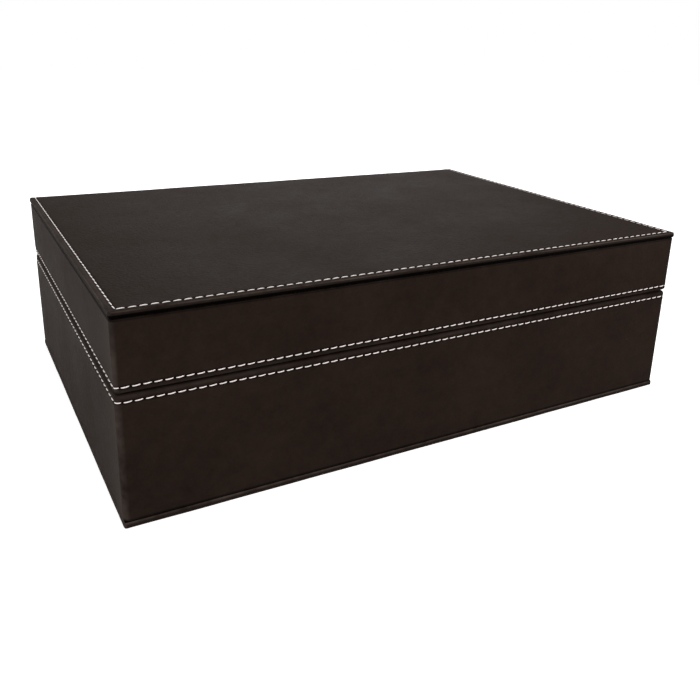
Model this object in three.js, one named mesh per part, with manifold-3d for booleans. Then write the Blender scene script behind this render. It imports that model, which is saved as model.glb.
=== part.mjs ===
// A leatherette gift box: a lined base and a hinged lid, both built from boards wrapped in
// dark brown leatherette and sewn with light thread round their rims.
// Millimetres. X runs to the right, Y from the front to the back, Z up.
// The origin is at the middle of the underside, and the lid is shut.
import * as THREE from 'three';
import { mergeVertices } from 'three/addons/utils/BufferGeometryUtils.js';
import Module from 'manifold-3d';

const wasm = await Module();
wasm.setup();

// Driving dimensions of the whole box
const boxWidth = 305;
const boxDepth = 216;
const boxHeight = 93;
const splitHeight = 59;
const rimGap = 0.4;

// Sheets, boards and the glue between them
const leatherette = 0.8;
const skivedLeatherette = 0.4;
const glueLine = 0.15;
const wallBoard = 6;
const wallBoardEase = 0.85;
const boardCorner = 0.9;
const slabBoard = 1.6;
const slabBoardEase = 0.3;

// Wrapped walls
const wallFrontCorner = 2.5;
const wallBackCorner = 1;
const wallInnerCorner = 0.6;
const rimTurnIn = 12;
const baseWallInset = 0.2;
const lidWallInset = 0.6;

// Wrapped slabs on the top and under the bottom
const slabCorner = 1.5;
const slabOuterRound = 1.2;
const slabInnerRound = 0.8;
const pocketCorner = 0.5;

// Back sheet and its fold, on the axis that the lid turns about
const foldHalfHeight = 1;
const foldClearance = 0.5;
const sheetCorner = 0.6;

// Sewn seams
const stitchPitch = 4.24;
const threadRadius = 0.28;
const stitchRise = 0.3;
const seamDepth = 0.5;
const seamClearance = 0.05;
const seamFlare = 0.2;
const rimSeamInset = 2.9;
const slabSeamInset = 3.1;
const seamEndMargin = 3;
const seamEndClearance = 0.4;
const cutOverrun = 1;

// Velvet-covered card linings
const liningThickness = 2;
const liningCorner = 0.7;
const liningEase = 0.5;
const liningDrop = 2;

// Magnets let into the rims of the two front boards
const magnetRadius = 2.2;
const magnetHeight = 2.5;
const magnetPlaceShare = 0.62;

// Facets
const cornerSteps = 4;
const edgeSteps = 3;
const boardCornerSteps = 2;
const easeSteps = 2;
const magnetSides = 20;
const threadSides = 3;
const stepsPerStitch = 2;

// Sizes that follow from the ones above
const quarterTurn = Math.PI / 2;
const skin = leatherette + glueLine;
const wallThickness = 2 * skin + wallBoard;
const rimRound = wallBoardEase + skin;
const slabThickness = skin + slabBoard + glueLine + skivedLeatherette;
const wallFoot = slabThickness + glueLine;
const lidHeight = boxHeight - splitHeight;
const baseRim = splitHeight - rimGap / 2;
const lidRim = lidHeight - rimGap / 2;
const foldReach = foldHalfHeight + foldClearance;
const backSheetWidth = boxWidth - 2 * slabCorner;
const seamFloorHalf = threadRadius + seamClearance;
const seamMouthHalf = seamFloorHalf + seamFlare;
const threadLow = threadRadius + seamClearance - seamDepth;
const backSeamX = boxWidth / 2 - slabSeamInset;

const colours = {
  leatherette: 0x2d2420,
  board: 0x9a7b58,
  thread: 0xe1dad0,
  velvet: 0x15110f,
  magnet: 0xb8bcc2,
};

const materials = {
  leatherette: () => new THREE.MeshStandardMaterial({
    color: colours.leatherette,
    roughness: 0.55,
    metalness: 0,
  }),
  board: () => new THREE.MeshStandardMaterial({
    color: colours.board,
    roughness: 0.9,
    metalness: 0,
  }),
  thread: () => new THREE.MeshStandardMaterial({
    color: colours.thread,
    roughness: 0.6,
    metalness: 0,
  }),
  velvet: () => new THREE.MeshStandardMaterial({
    color: colours.velvet,
    roughness: 1,
    metalness: 0,
  }),
  magnet: () => new THREE.MeshStandardMaterial({
    color: colours.magnet,
    roughness: 0.3,
    metalness: 1,
  }),
};

// Six times the signed volume of a closed indexed mesh: negative when its faces point in.
function signedVolume(positions, index) {
  const a = new THREE.Vector3();
  const b = new THREE.Vector3();
  const c = new THREE.Vector3();
  let total = 0;
  for (let k = 0; k < index.length; k += 3) {
    a.fromArray(positions, 3 * index[k]);
    b.fromArray(positions, 3 * index[k + 1]);
    c.fromArray(positions, 3 * index[k + 2]);
    total += a.dot(b.cross(c));
  }
  return total;
}

// A closed body through rings of equally many points. Open lofts get a flat cap at each end,
// closed ones join the last ring to the first.
function loft(rings, closed) {
  const count = rings[0].length;
  const positions = rings.flat().flatMap((point) => point.toArray());
  const index = [];
  const bands = closed ? rings.length : rings.length - 1;
  for (let band = 0; band < bands; band++) {
    const here = band * count;
    const there = ((band + 1) % rings.length) * count;
    for (let k = 0; k < count; k++) {
      const next = (k + 1) % count;
      index.push(here + k, here + next, there + next);
      index.push(here + k, there + next, there + k);
    }
  }
  if (!closed) {
    const last = (rings.length - 1) * count;
    for (let k = 1; k < count - 1; k++) {
      index.push(0, k + 1, k);
      index.push(last, last + k, last + k + 1);
    }
  }
  if (signedVolume(positions, index) < 0) {
    index.reverse();
  }
  const geometry = new THREE.BufferGeometry();
  geometry.setAttribute('position', new THREE.Float32BufferAttribute(positions, 3));
  geometry.setIndex(index);
  geometry.computeVertexNormals();
  return geometry;
}

// A rounded rectangle in plan, centred on the origin at height z, with its own radius for the
// two front corners and for the two back ones.
function planRing(width, depth, frontRadius, backRadius, z, steps = cornerSteps) {
  const corners = [
    { right: 1, back: -1, radius: frontRadius, start: -quarterTurn },
    { right: 1, back: 1, radius: backRadius, start: 0 },
    { right: -1, back: 1, radius: backRadius, start: quarterTurn },
    { right: -1, back: -1, radius: frontRadius, start: 2 * quarterTurn },
  ];
  const points = [];
  for (const { right, back, radius, start } of corners) {
    const centreX = right * (width / 2 - radius);
    const centreY = back * (depth / 2 - radius);
    for (let step = 0; step <= steps; step++) {
      const angle = start + (step / steps) * quarterTurn;
      points.push(new THREE.Vector3(
        centreX + radius * Math.cos(angle),
        centreY + radius * Math.sin(angle),
        z,
      ));
    }
  }
  return points;
}

// A board, card or panel lying on z = 0, with every edge eased by a small round.
function easedPanel(width, depth, height, frontRadius, backRadius, ease) {
  const levels = [];
  for (let step = 0; step <= easeSteps; step++) {
    const angle = (step / easeSteps) * quarterTurn;
    levels.push({ inset: ease * (1 - Math.sin(angle)), rise: ease * (1 - Math.cos(angle)) });
  }
  const ring = (inset, z) => planRing(
    width - 2 * inset,
    depth - 2 * inset,
    frontRadius - inset,
    backRadius - inset,
    z,
    boardCornerSteps,
  );
  const lower = levels.map(({ inset, rise }) => ring(inset, rise));
  const upper = levels.map(({ inset, rise }) => ring(inset, height - rise)).reverse();
  return loft([...lower, ...upper], false);
}

// Points of an arc in a wall's section: inset from the outer face and height.
function sectionArc(centreInset, centreZ, radius, from, to) {
  const points = [];
  for (let step = 0; step <= edgeSteps; step++) {
    const angle = from + (step / edgeSteps) * (to - from);
    points.push({
      inset: centreInset + radius * Math.cos(angle),
      z: centreZ + radius * Math.sin(angle),
    });
  }
  return points;
}

function solidOf(geometry) {
  const bare = geometry.clone();
  bare.deleteAttribute('normal');
  bare.deleteAttribute('uv');
  const merged = mergeVertices(bare);
  return new wasm.Manifold(new wasm.Mesh({
    numProp: 3,
    vertProperties: merged.attributes.position.array,
    triVerts: Uint32Array.from(merged.index.array),
  }));
}

function geometryOf(solid) {
  const result = solid.getMesh();
  const geometry = new THREE.BufferGeometry();
  geometry.setAttribute('position', new THREE.BufferAttribute(result.vertProperties, 3));
  geometry.setIndex(new THREE.BufferAttribute(result.triVerts, 1));
  geometry.computeVertexNormals();
  return geometry;
}

function cut(geometry, cutters) {
  let solid = solidOf(geometry);
  for (const cutter of cutters) {
    solid = solid.subtract(solidOf(cutter));
  }
  return geometryOf(solid);
}

// Stations along a straight run of a seam. Each has its point, the outward normal of the
// surface and the direction across the seam, and tells how many stitches lie behind it.
function straightRun(from, to, normal, across, steps, stitches) {
  const stations = [];
  for (let step = 0; step <= steps; step++) {
    const share = step / steps;
    stations.push({
      point: from.clone().lerp(to, share),
      normal: normal.clone(),
      across: across.clone(),
      phase: share * stitches,
    });
  }
  return stations;
}

// Stations round a quarter bend, from one normal to the next, which takes one stitch.
function bendRun(centre, radius, fromNormal, toNormal, across) {
  const stations = [];
  for (let step = 0; step <= cornerSteps; step++) {
    const share = step / cornerSteps;
    const normal = fromNormal.clone().multiplyScalar(Math.cos(share * quarterTurn));
    normal.addScaledVector(toNormal, Math.sin(share * quarterTurn));
    stations.push({
      point: centre.clone().addScaledVector(normal, radius),
      normal,
      across: across.clone(),
      phase: share,
    });
  }
  return stations;
}

// Joins runs end to end: the shared station is kept once, with a mitred direction across.
function joinRuns(runs) {
  const stations = [...runs[0]];
  for (const run of runs.slice(1)) {
    const joint = stations[stations.length - 1];
    const mitre = joint.across.clone().add(run[0].across);
    joint.across = mitre.multiplyScalar(2 / mitre.lengthSq());
    stations.push(...run.slice(1));
  }
  return stations;
}

function stitchCount(from, to) {
  return Math.max(1, Math.round(from.distanceTo(to) / stitchPitch));
}

function sewnRun(from, to, normal, across) {
  const stitches = stitchCount(from, to);
  return straightRun(from, to, normal, across, stepsPerStitch * stitches, stitches);
}

// The sewing thread: it crests over the surface between the needle holes and dips below the
// surface at each of them, in the channel that the seam presses into the leatherette.
function threadGeometry(stations) {
  const rings = stations.map(({ point, normal, across, phase }) => {
    const crest = (1 - Math.cos(2 * Math.PI * phase)) / 2;
    const height = threadLow + stitchRise * crest;
    const ring = [];
    for (let side = 0; side < threadSides; side++) {
      const angle = (2 * Math.PI * side) / threadSides - quarterTurn;
      ring.push(point.clone()
        .addScaledVector(across, threadRadius * Math.cos(angle))
        .addScaledVector(normal, height + threadRadius * Math.sin(angle)));
    }
    return ring;
  });
  return loft(rings, false);
}

// The body that cuts the seam's channel, a little longer than the thread at both ends.
function channelGeometry(stations) {
  const section = [
    [-seamFloorHalf, -seamDepth],
    [seamFloorHalf, -seamDepth],
    [seamMouthHalf, 0],
    [seamMouthHalf, cutOverrun],
    [-seamMouthHalf, cutOverrun],
    [-seamMouthHalf, 0],
  ];
  const rings = stations.map(({ point, normal, across }) => section.map(([side, height]) => (
    point.clone().addScaledVector(across, side).addScaledVector(normal, height)
  )));
  return loft(rings, false);
}

const left = new THREE.Vector3(-1, 0, 0);
const right = new THREE.Vector3(1, 0, 0);
const front = new THREE.Vector3(0, -1, 0);
const back = new THREE.Vector3(0, 1, 0);
const up = new THREE.Vector3(0, 0, 1);
const down = new THREE.Vector3(0, 0, -1);

function place(x, y, z) {
  return new THREE.Vector3(x, y, z);
}

// The outline in plan of a tray's wrapped walls. Both trays are modelled standing on their
// slab, which is z = 0, with the rim on top: the lid is such a tray turned over.
function wallPlan(inset) {
  const frontY = inset - boxDepth / 2;
  const backY = boxDepth / 2 - skin;
  return {
    width: boxWidth - 2 * inset,
    depth: backY - frontY,
    frontY,
    backY,
    middleY: (frontY + backY) / 2,
  };
}

// The leatherette on the walls: a hollow sleeve that rolls over the rim, turns in behind the
// boards and has a pressed channel for the seam below its rolled edge.
function wallCoverGeometry(plan, rim) {
  const seam = rim - rimSeamInset;
  const inner = wallThickness - leatherette;
  const rollInside = rimRound - leatherette;
  const section = [
    ...sectionArc(leatherette, wallFoot + leatherette, leatherette, -quarterTurn, -2 * quarterTurn),
    { inset: 0, z: seam - seamMouthHalf },
    { inset: seamDepth, z: seam - seamFloorHalf },
    { inset: seamDepth, z: seam + seamFloorHalf },
    { inset: 0, z: seam + seamMouthHalf },
    ...sectionArc(rimRound, rim - rimRound, rimRound, 2 * quarterTurn, quarterTurn),
    ...sectionArc(wallThickness - rimRound, rim - rimRound, rimRound, quarterTurn, 0),
    { inset: wallThickness, z: rim - rimTurnIn },
    { inset: inner, z: rim - rimTurnIn },
    ...sectionArc(wallThickness - rimRound, rim - rimRound, rollInside, 0, quarterTurn),
    ...sectionArc(rimRound, rim - rimRound, rollInside, quarterTurn, 2 * quarterTurn),
  ];
  const rings = section.map(({ inset, z }) => planRing(
    plan.width - 2 * inset,
    plan.depth - 2 * inset,
    Math.max(wallFrontCorner - inset, wallInnerCorner),
    Math.max(wallBackCorner - inset, wallInnerCorner),
    z,
  ));
  return loft(rings, true);
}

// The leatherette on a slab: it covers the outer face and the edges, and its skived edge is
// turned in over the board, where the walls stand on it.
function slabCoverGeometry(turnIn) {
  const section = [
    ...sectionArc(slabOuterRound, slabOuterRound, slabOuterRound, -quarterTurn, -2 * quarterTurn),
    ...sectionArc(slabInnerRound, slabThickness - slabInnerRound, slabInnerRound,
      2 * quarterTurn, quarterTurn),
    { inset: turnIn, z: slabThickness },
    { inset: turnIn, z: slabThickness - skivedLeatherette },
    { inset: leatherette, z: slabThickness - skivedLeatherette },
    { inset: leatherette, z: leatherette },
  ];
  const rings = section.map(({ inset, z }) => {
    const radius = Math.max(slabCorner - inset, pocketCorner);
    return planRing(boxWidth - 2 * inset, boxDepth - 2 * inset, radius, radius, z);
  });
  return loft(rings, false);
}

// The seam round a rim, from the back end of the left wall to that of the right wall.
function rimSeam(plan, rim) {
  const z = rim - rimSeamInset;
  const side = plan.width / 2;
  const endY = plan.backY - wallBackCorner - seamEndMargin;
  const bendX = side - wallFrontCorner;
  const bendY = plan.frontY + wallFrontCorner;
  return joinRuns([
    sewnRun(place(-side, endY, z), place(-side, bendY, z), left, up),
    bendRun(place(-bendX, bendY, z), wallFrontCorner, left, front, up),
    sewnRun(place(-bendX, plan.frontY, z), place(bendX, plan.frontY, z), front, up),
    bendRun(place(bendX, bendY, z), wallFrontCorner, front, right, up),
    sewnRun(place(side, bendY, z), place(side, endY, z), right, up),
  ]);
}

// The seam round the top: up the lid's back, over the back edge, forward, across the front
// and back again. The run function is given the ends of each straight run.
function topSeam(run, extra) {
  const x = backSeamX;
  const backY = boxDepth / 2;
  const frontY = slabSeamInset - backY;
  const bendY = backY - slabOuterRound;
  const end = lidHeight - foldReach - seamEndMargin + extra;
  const bend = slabOuterRound;
  return joinRuns([
    run(place(-x, backY, end), place(-x, backY, bend), back, left),
    bendRun(place(-x, bendY, bend), bend, back, down, left),
    run(place(-x, bendY, 0), place(-x, frontY, 0), down, left),
    run(place(-x, frontY, 0), place(x, frontY, 0), down, front),
    run(place(x, frontY, 0), place(x, bendY, 0), down, right),
    bendRun(place(x, bendY, bend), bend, down, back, right),
    run(place(x, backY, bend), place(x, backY, end), back, right),
  ]);
}

function plainRun(from, to, normal, across) {
  return straightRun(from, to, normal, across, 1, 1);
}

// The two seams down the back of the base.
function backSeam(run, x, extra) {
  const low = wallFoot + seamEndMargin - extra;
  const high = splitHeight - foldReach - seamEndMargin + extra;
  return run(place(x, boxDepth / 2, low), place(x, boxDepth / 2, high), back, right);
}

// A sheet that stands upright against the back walls, between two heights.
function backSheetGeometry(low, high) {
  const faces = [0, leatherette].map((z) => (
    planRing(backSheetWidth, high - low, sheetCorner, sheetCorner, z, boardCornerSteps)
  ));
  const panel = loft(faces, false);
  panel.rotateX(quarterTurn);
  panel.translate(0, boxDepth / 2, (low + high) / 2);
  return panel;
}

// The leatherette on the top, which goes on over the back edge and down the lid's back.
function topCoverGeometry() {
  const slabCover = slabCoverGeometry(lidWallInset + wallThickness);
  const sheet = backSheetGeometry(slabOuterRound, lidHeight - foldReach);
  const joined = geometryOf(solidOf(slabCover).add(solidOf(sheet)));
  return cut(joined, [channelGeometry(topSeam(plainRun, seamEndClearance))]);
}

// The leatherette on the base's back, with a channel for each of its seams.
function baseBackSheetGeometry() {
  const sheet = backSheetGeometry(wallFoot, splitHeight - foldReach);
  return cut(sheet, [-backSeamX, backSeamX].map((x) => (
    channelGeometry(backSeam(plainRun, x, seamEndClearance))
  )));
}

// A front board has a blind hole in its rim edge for each magnet.
function frontBoardGeometry(plan, height) {
  const board = easedPanel(
    plan.width - 2 * skin,
    wallBoard,
    height,
    Math.max(wallFrontCorner - skin, boardCorner),
    boardCorner,
    wallBoardEase,
  );
  const reach = magnetHeight + glueLine + cutOverrun;
  const holes = [-1, 1].map((side) => {
    const hole = new THREE.CylinderGeometry(
      magnetRadius + glueLine,
      magnetRadius + glueLine,
      reach,
      magnetSides,
    );
    hole.rotateX(quarterTurn);
    hole.translate(side * magnetX(plan), 0, height + cutOverrun - reach / 2);
    return hole;
  });
  return cut(board, holes);
}

function magnetX(plan) {
  return magnetPlaceShare * plan.width / 2;
}

function magnetGeometry() {
  const magnet = new THREE.CylinderGeometry(magnetRadius, magnetRadius, magnetHeight, magnetSides);
  magnet.rotateX(quarterTurn);
  return magnet;
}

function node(name, geometry, material, x = 0, y = 0, z = 0) {
  const mesh = new THREE.Mesh(geometry, materials[material]());
  mesh.name = name;
  mesh.position.set(x, y, z);
  return mesh;
}

// What both trays share: the slab's board, four wall boards, the wall cover and its seam, the
// magnets and the linings. The sides are named as seen from the front with the box shut.
function tray(prefix, slabName, rim, inset, leftSide) {
  const group = new THREE.Group();
  const plan = wallPlan(inset);
  const rightSide = -leftSide;

  group.add(node(
    `${slabName}_board`,
    easedPanel(
      boxWidth - 2 * skin,
      boxDepth - 2 * skin,
      slabBoard,
      boardCorner,
      boardCorner,
      slabBoardEase,
    ),
    'board', 0, 0, skin,
  ));

  const boardTop = rim - skin;
  const boardHeight = boardTop - wallFoot;
  const frontBoardY = plan.frontY + skin + wallBoard / 2;
  const backBoardY = plan.backY - skin - wallBoard / 2;
  const sideBoardX = plan.width / 2 - skin - wallBoard / 2;
  const sideBoardDepth = backBoardY - frontBoardY - wallBoard - 2 * glueLine;
  group.add(node(
    `${prefix}_front_board`, frontBoardGeometry(plan, boardHeight), 'board',
    0, frontBoardY, wallFoot,
  ));
  group.add(node(
    `${prefix}_back_board`,
    easedPanel(plan.width - 2 * skin, wallBoard, boardHeight, boardCorner, boardCorner,
      wallBoardEase),
    'board', 0, backBoardY, wallFoot,
  ));
  for (const [side, word] of [[leftSide, 'left'], [rightSide, 'right']]) {
    group.add(node(
      `${prefix}_${word}_board`,
      easedPanel(wallBoard, sideBoardDepth, boardHeight, boardCorner, boardCorner, wallBoardEase),
      'board', side * sideBoardX, (frontBoardY + backBoardY) / 2, wallFoot,
    ));
    group.add(node(
      `${prefix}_magnet_${word}`, magnetGeometry(), 'magnet',
      side * magnetX(plan), frontBoardY, boardTop - magnetHeight / 2,
    ));
  }

  group.add(node(
    `${prefix}_wall_cover`, wallCoverGeometry(plan, rim), 'leatherette', 0, plan.middleY, 0,
  ));
  group.add(node(`${prefix}_rim_stitching`, threadGeometry(rimSeam(plan, rim)), 'thread'));

  const room = wallThickness + glueLine;
  const roomWidth = plan.width - 2 * room;
  const roomDepth = plan.depth - 2 * room;
  const floor = skin + slabBoard + glueLine;
  group.add(node(
    `${prefix}_${slabName === 'top' ? 'ceiling' : 'floor'}_lining`,
    easedPanel(roomWidth, roomDepth, liningThickness, liningCorner, liningCorner, liningEase),
    'velvet', 0, plan.middleY, floor,
  ));
  const liningFoot = floor + liningThickness + glueLine;
  const liningHeight = rim - liningDrop - liningFoot;
  const liningDepth = roomDepth - 2 * (liningThickness + glueLine);
  for (const [end, word] of [[-1, 'front'], [1, 'back']]) {
    group.add(node(
      `${prefix}_${word}_lining`,
      easedPanel(roomWidth, liningThickness, liningHeight, liningCorner, liningCorner, liningEase),
      'velvet', 0, plan.middleY + end * (roomDepth - liningThickness) / 2, liningFoot,
    ));
  }
  for (const [side, word] of [[leftSide, 'left'], [rightSide, 'right']]) {
    group.add(node(
      `${prefix}_${word}_lining`,
      easedPanel(liningThickness, liningDepth, liningHeight, liningCorner, liningCorner,
        liningEase),
      'velvet', side * (roomWidth - liningThickness) / 2, plan.middleY, liningFoot,
    ));
  }
  return group;
}

// The base: the tray on its covered bottom slab, the back sheet and the fold above it.
function base() {
  const group = tray('base', 'bottom', baseRim, baseWallInset, -1);
  group.add(node(
    'bottom_cover', slabCoverGeometry(baseWallInset + wallThickness), 'leatherette',
  ));
  group.add(node('base_back_sheet', baseBackSheetGeometry(), 'leatherette'));
  group.add(node(
    'back_sheet_fold',
    backSheetGeometry(splitHeight - foldHalfHeight, splitHeight + foldHalfHeight),
    'leatherette',
  ));
  for (const [x, word] of [[-backSeamX, 'left'], [backSeamX, 'right']]) {
    group.add(node(
      `base_back_stitching_${word}`, threadGeometry(backSeam(sewnRun, x, 0)), 'thread',
    ));
  }
  return group;
}

// The lid: the same kind of tray turned over about the Y axis, so that its slab is the top.
function lid() {
  const group = tray('lid', 'top', lidRim, lidWallInset, 1);
  group.add(node('top_cover', topCoverGeometry(), 'leatherette'));
  group.add(node('lid_top_stitching', threadGeometry(topSeam(sewnRun, 0)), 'thread'));
  group.rotation.y = Math.PI;
  group.position.z = boxHeight;
  return group;
}

const giftBox = new THREE.Group();
giftBox.name = 'leatherette_gift_box';
giftBox.add(base());
giftBox.add(lid());

export default giftBox;
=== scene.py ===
"""Dresses the leatherette gift box: one sheet over the top and down the back, a wrapped
bottom slab, two sewn wall sleeves, the thread of every seam, and velvet linings.

Lengths in the classes are millimetres, as a box maker would write them. Meshes are metres,
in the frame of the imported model: X to the right, Y to the back, Z up, lid shut.
"""

import logging
import math
from collections.abc import Iterable, Sequence
from dataclasses import asdict, dataclass, field
from enum import Enum
from itertools import product
from typing import ClassVar

import bmesh
import bpy
import numpy as np
from mathutils import Matrix, Vector


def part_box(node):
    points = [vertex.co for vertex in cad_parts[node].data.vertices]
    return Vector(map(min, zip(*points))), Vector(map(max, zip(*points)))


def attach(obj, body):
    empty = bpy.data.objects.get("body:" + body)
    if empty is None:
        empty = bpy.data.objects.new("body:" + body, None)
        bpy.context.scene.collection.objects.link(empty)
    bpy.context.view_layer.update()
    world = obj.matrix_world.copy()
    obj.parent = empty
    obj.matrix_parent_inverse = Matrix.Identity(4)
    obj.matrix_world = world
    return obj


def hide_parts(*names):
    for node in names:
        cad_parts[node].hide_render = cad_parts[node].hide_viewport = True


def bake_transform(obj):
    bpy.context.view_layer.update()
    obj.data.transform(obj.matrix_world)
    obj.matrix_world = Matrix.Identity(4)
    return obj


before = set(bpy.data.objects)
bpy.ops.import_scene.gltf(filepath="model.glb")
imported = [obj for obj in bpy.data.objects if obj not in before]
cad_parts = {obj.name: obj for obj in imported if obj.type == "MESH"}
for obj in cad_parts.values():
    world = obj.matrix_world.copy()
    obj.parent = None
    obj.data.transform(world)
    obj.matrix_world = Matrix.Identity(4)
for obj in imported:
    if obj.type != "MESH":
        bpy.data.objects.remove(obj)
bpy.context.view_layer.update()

MM = 0.001
QUARTER = math.pi / 2
WELD = 1e-6
SAME_LINE = 1e-6
SAME_PLACE = 1e-9
LINE_MARGIN = 0.05
LEVEL_STEPS_PER_STITCH = 2
BENT_STEPS_PER_STITCH = 8

Array = np.ndarray
Lines = list[float]
Pair = tuple[float, float]
Colour = tuple[float, float, float]

log = logging.getLogger("gift_box")


class Body(Enum):
    """The two bodies that the fold at the back joins."""

    BASE = "base"
    LID = "lid"


class Slot(Enum):
    """The record's material slots, passed along with the new pieces."""

    SHEET = "slab_leatherette"
    WALL = "wall_leatherette"
    THREAD = "thread"
    VELVET = "velvet"


@dataclass(frozen=True)
class BoxSizes:
    """Sizes that the sheets, walls and seams share, in millimetres."""

    width: float = 305.0
    depth: float = 216.0
    height: float = 93.0
    split: float = 59.0
    rim_gap: float = 0.5
    leatherette: float = 0.8
    skived: float = 0.4
    skin: float = 0.95
    wall_thickness: float = 7.9
    glue_line: float = 0.02
    rim_round: float = 1.8
    rim_turn_in: float = 12.0
    base_front_corner: float = 2.7
    lid_front_corner: float = 2.0
    wall_back_corner: float = 1.0
    wall_inner_corner: float = 0.6
    base_wall_inset: float = 0.2
    lid_wall_inset: float = 0.25
    slab_thickness: float = 3.1
    slab_corner: float = 1.5
    slab_outer_round: float = 0.9
    slab_inner_round: float = 1.3
    fold_reach: float = 1.5
    stitch: float = 4.24
    side_stitch: float = 4.6
    rim_seam_inset: float = 2.9
    slab_seam_inset: float = 3.1
    seam_end_margin: float = 3.0

    @property
    def wall_foot(self) -> float:
        """Height of a wall cover's lower edge above its slab's outer face."""
        return self.slab_thickness + self.glue_line

    @property
    def seam_x(self) -> float:
        """Half the distance between the two long seams on the top."""
        return self.width / 2 - self.slab_seam_inset


# ---- Lines and meshes ----


def whole_steps(length: float, step: float) -> int:
    """How many whole steps, such as stitches, a length takes; at least one."""
    return max(1, round(length / step))


def steps_from(start: float, end: float, count: int) -> Lines:
    """Evenly spaced lines from start to end, with both."""
    return [start + (end - start) * k / count for k in range(count + 1)]


def distinct(lines: Iterable[float]) -> Lines:
    """Lines in order, each once.

    Args:
        lines: The lines, in any order, some perhaps twice.

    Returns:
        The lines that differ.
    """
    kept: Lines = []
    for line in sorted(lines):
        if not kept or line - kept[-1] > SAME_LINE:
            kept.append(line)
    return kept


def lines_between(
    low: float, high: float, first: float, step: float, margin: float = LINE_MARGIN
) -> Lines:
    """The multiples of a step that lie strictly inside an interval.

    Args:
        low: The interval's lower end.
        high: Its upper end.
        first: Where the count starts.
        step: The distance between two lines.
        margin: How far the lines stay from both ends.

    Returns:
        The lines, in order.
    """
    begin = math.ceil((low + margin - first) / step)
    end = math.floor((high - margin - first) / step)
    return [first + k * step for k in range(begin, end + 1)]


def fading(beyond: Array, reach: float = 0.5) -> Array:
    """1 up to the end of something, falling to 0 beyond it."""
    return np.exp(-((np.maximum(beyond, 0) / reach) ** 2))


def in_scene(name: str, data: bpy.types.ID) -> bpy.types.Object:
    """A new object, linked to the scene.

    Args:
        name: Its name.
        data: Its mesh, camera or lamp.

    Returns:
        The object.
    """
    made = bpy.data.objects.new(name, data)
    bpy.context.scene.collection.objects.link(made)
    return made


def carry(mesh: bpy.types.Mesh, name: str, values: Array) -> None:
    """Keeps a number or a vector for each point of a mesh, as a named attribute."""
    kind, key = ("FLOAT", "value") if values.ndim == 1 else ("FLOAT_VECTOR", "vector")
    mesh.attributes.new(name, kind, "POINT").data.foreach_set(key, values.astype("f4").ravel())


def make_piece(
    name: str,
    points: Array,
    faces: Sequence[Sequence[int]],
    values: dict[str, Array] | None = None,
    sharp_degrees: float = 50.0,
) -> bpy.types.Object:
    """Makes a closed piece from points and faces, welded, facing out and smooth-shaded.

    Args:
        name: Name of the piece.
        points: Points in millimetres, one row each.
        faces: Point numbers of each face.
        values: Named values, one for each point, kept as mesh attributes.
        sharp_degrees: Edges between faces that turn by more than this stay sharp.

    Returns:
        The new object, linked to the scene.
    """
    mesh = bpy.data.meshes.new(name)
    mesh.from_pydata((points * MM).tolist(), [], [list(face) for face in faces])
    for key, numbers in (values or {}).items():
        carry(mesh, key, numbers)
    shape = bmesh.new()
    shape.from_mesh(mesh)
    bmesh.ops.remove_doubles(shape, verts=shape.verts, dist=WELD)
    bmesh.ops.recalc_face_normals(shape, faces=shape.faces)
    limit = math.radians(sharp_degrees)
    for edge in shape.edges:
        edge.smooth = len(edge.link_faces) != 2 or edge.calc_face_angle(0.0) < limit
    for face in shape.faces:
        face.smooth = True
    shape.to_mesh(mesh)
    shape.free()
    return in_scene(name, mesh)


def finish_piece(
    piece: bpy.types.Object,
    material: bpy.types.Material,
    slot: Slot,
    body: Body | None,
    *nodes: str,
) -> None:
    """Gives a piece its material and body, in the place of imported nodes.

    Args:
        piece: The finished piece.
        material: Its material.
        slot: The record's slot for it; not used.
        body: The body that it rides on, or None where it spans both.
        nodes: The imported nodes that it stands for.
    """
    piece.data.materials.clear()
    piece.data.materials.append(material)
    if body is not None:
        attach(piece, body.value)
    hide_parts(*nodes)
    log.info("%s: %d faces", piece.name, len(piece.data.polygons))


# ---- Paths: the outline in plan, and the section of a wrapped edge ----

# Each corner's first quarter turn, and its side of the box in X and in Y.
CORNERS = {
    "back_left": (1, -1, 1),
    "front_left": (2, -1, -1),
    "front_right": (3, 1, -1),
    "back_right": (0, 1, 1),
}
# The direction that each side faces.
SIDES = {"left": (-1, 0), "front": (0, -1), "right": (1, 0), "back": (0, 1)}
RING = (
    "back_left", "left", "front_left", "front", "front_right", "right", "back_right", "back",
)


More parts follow.
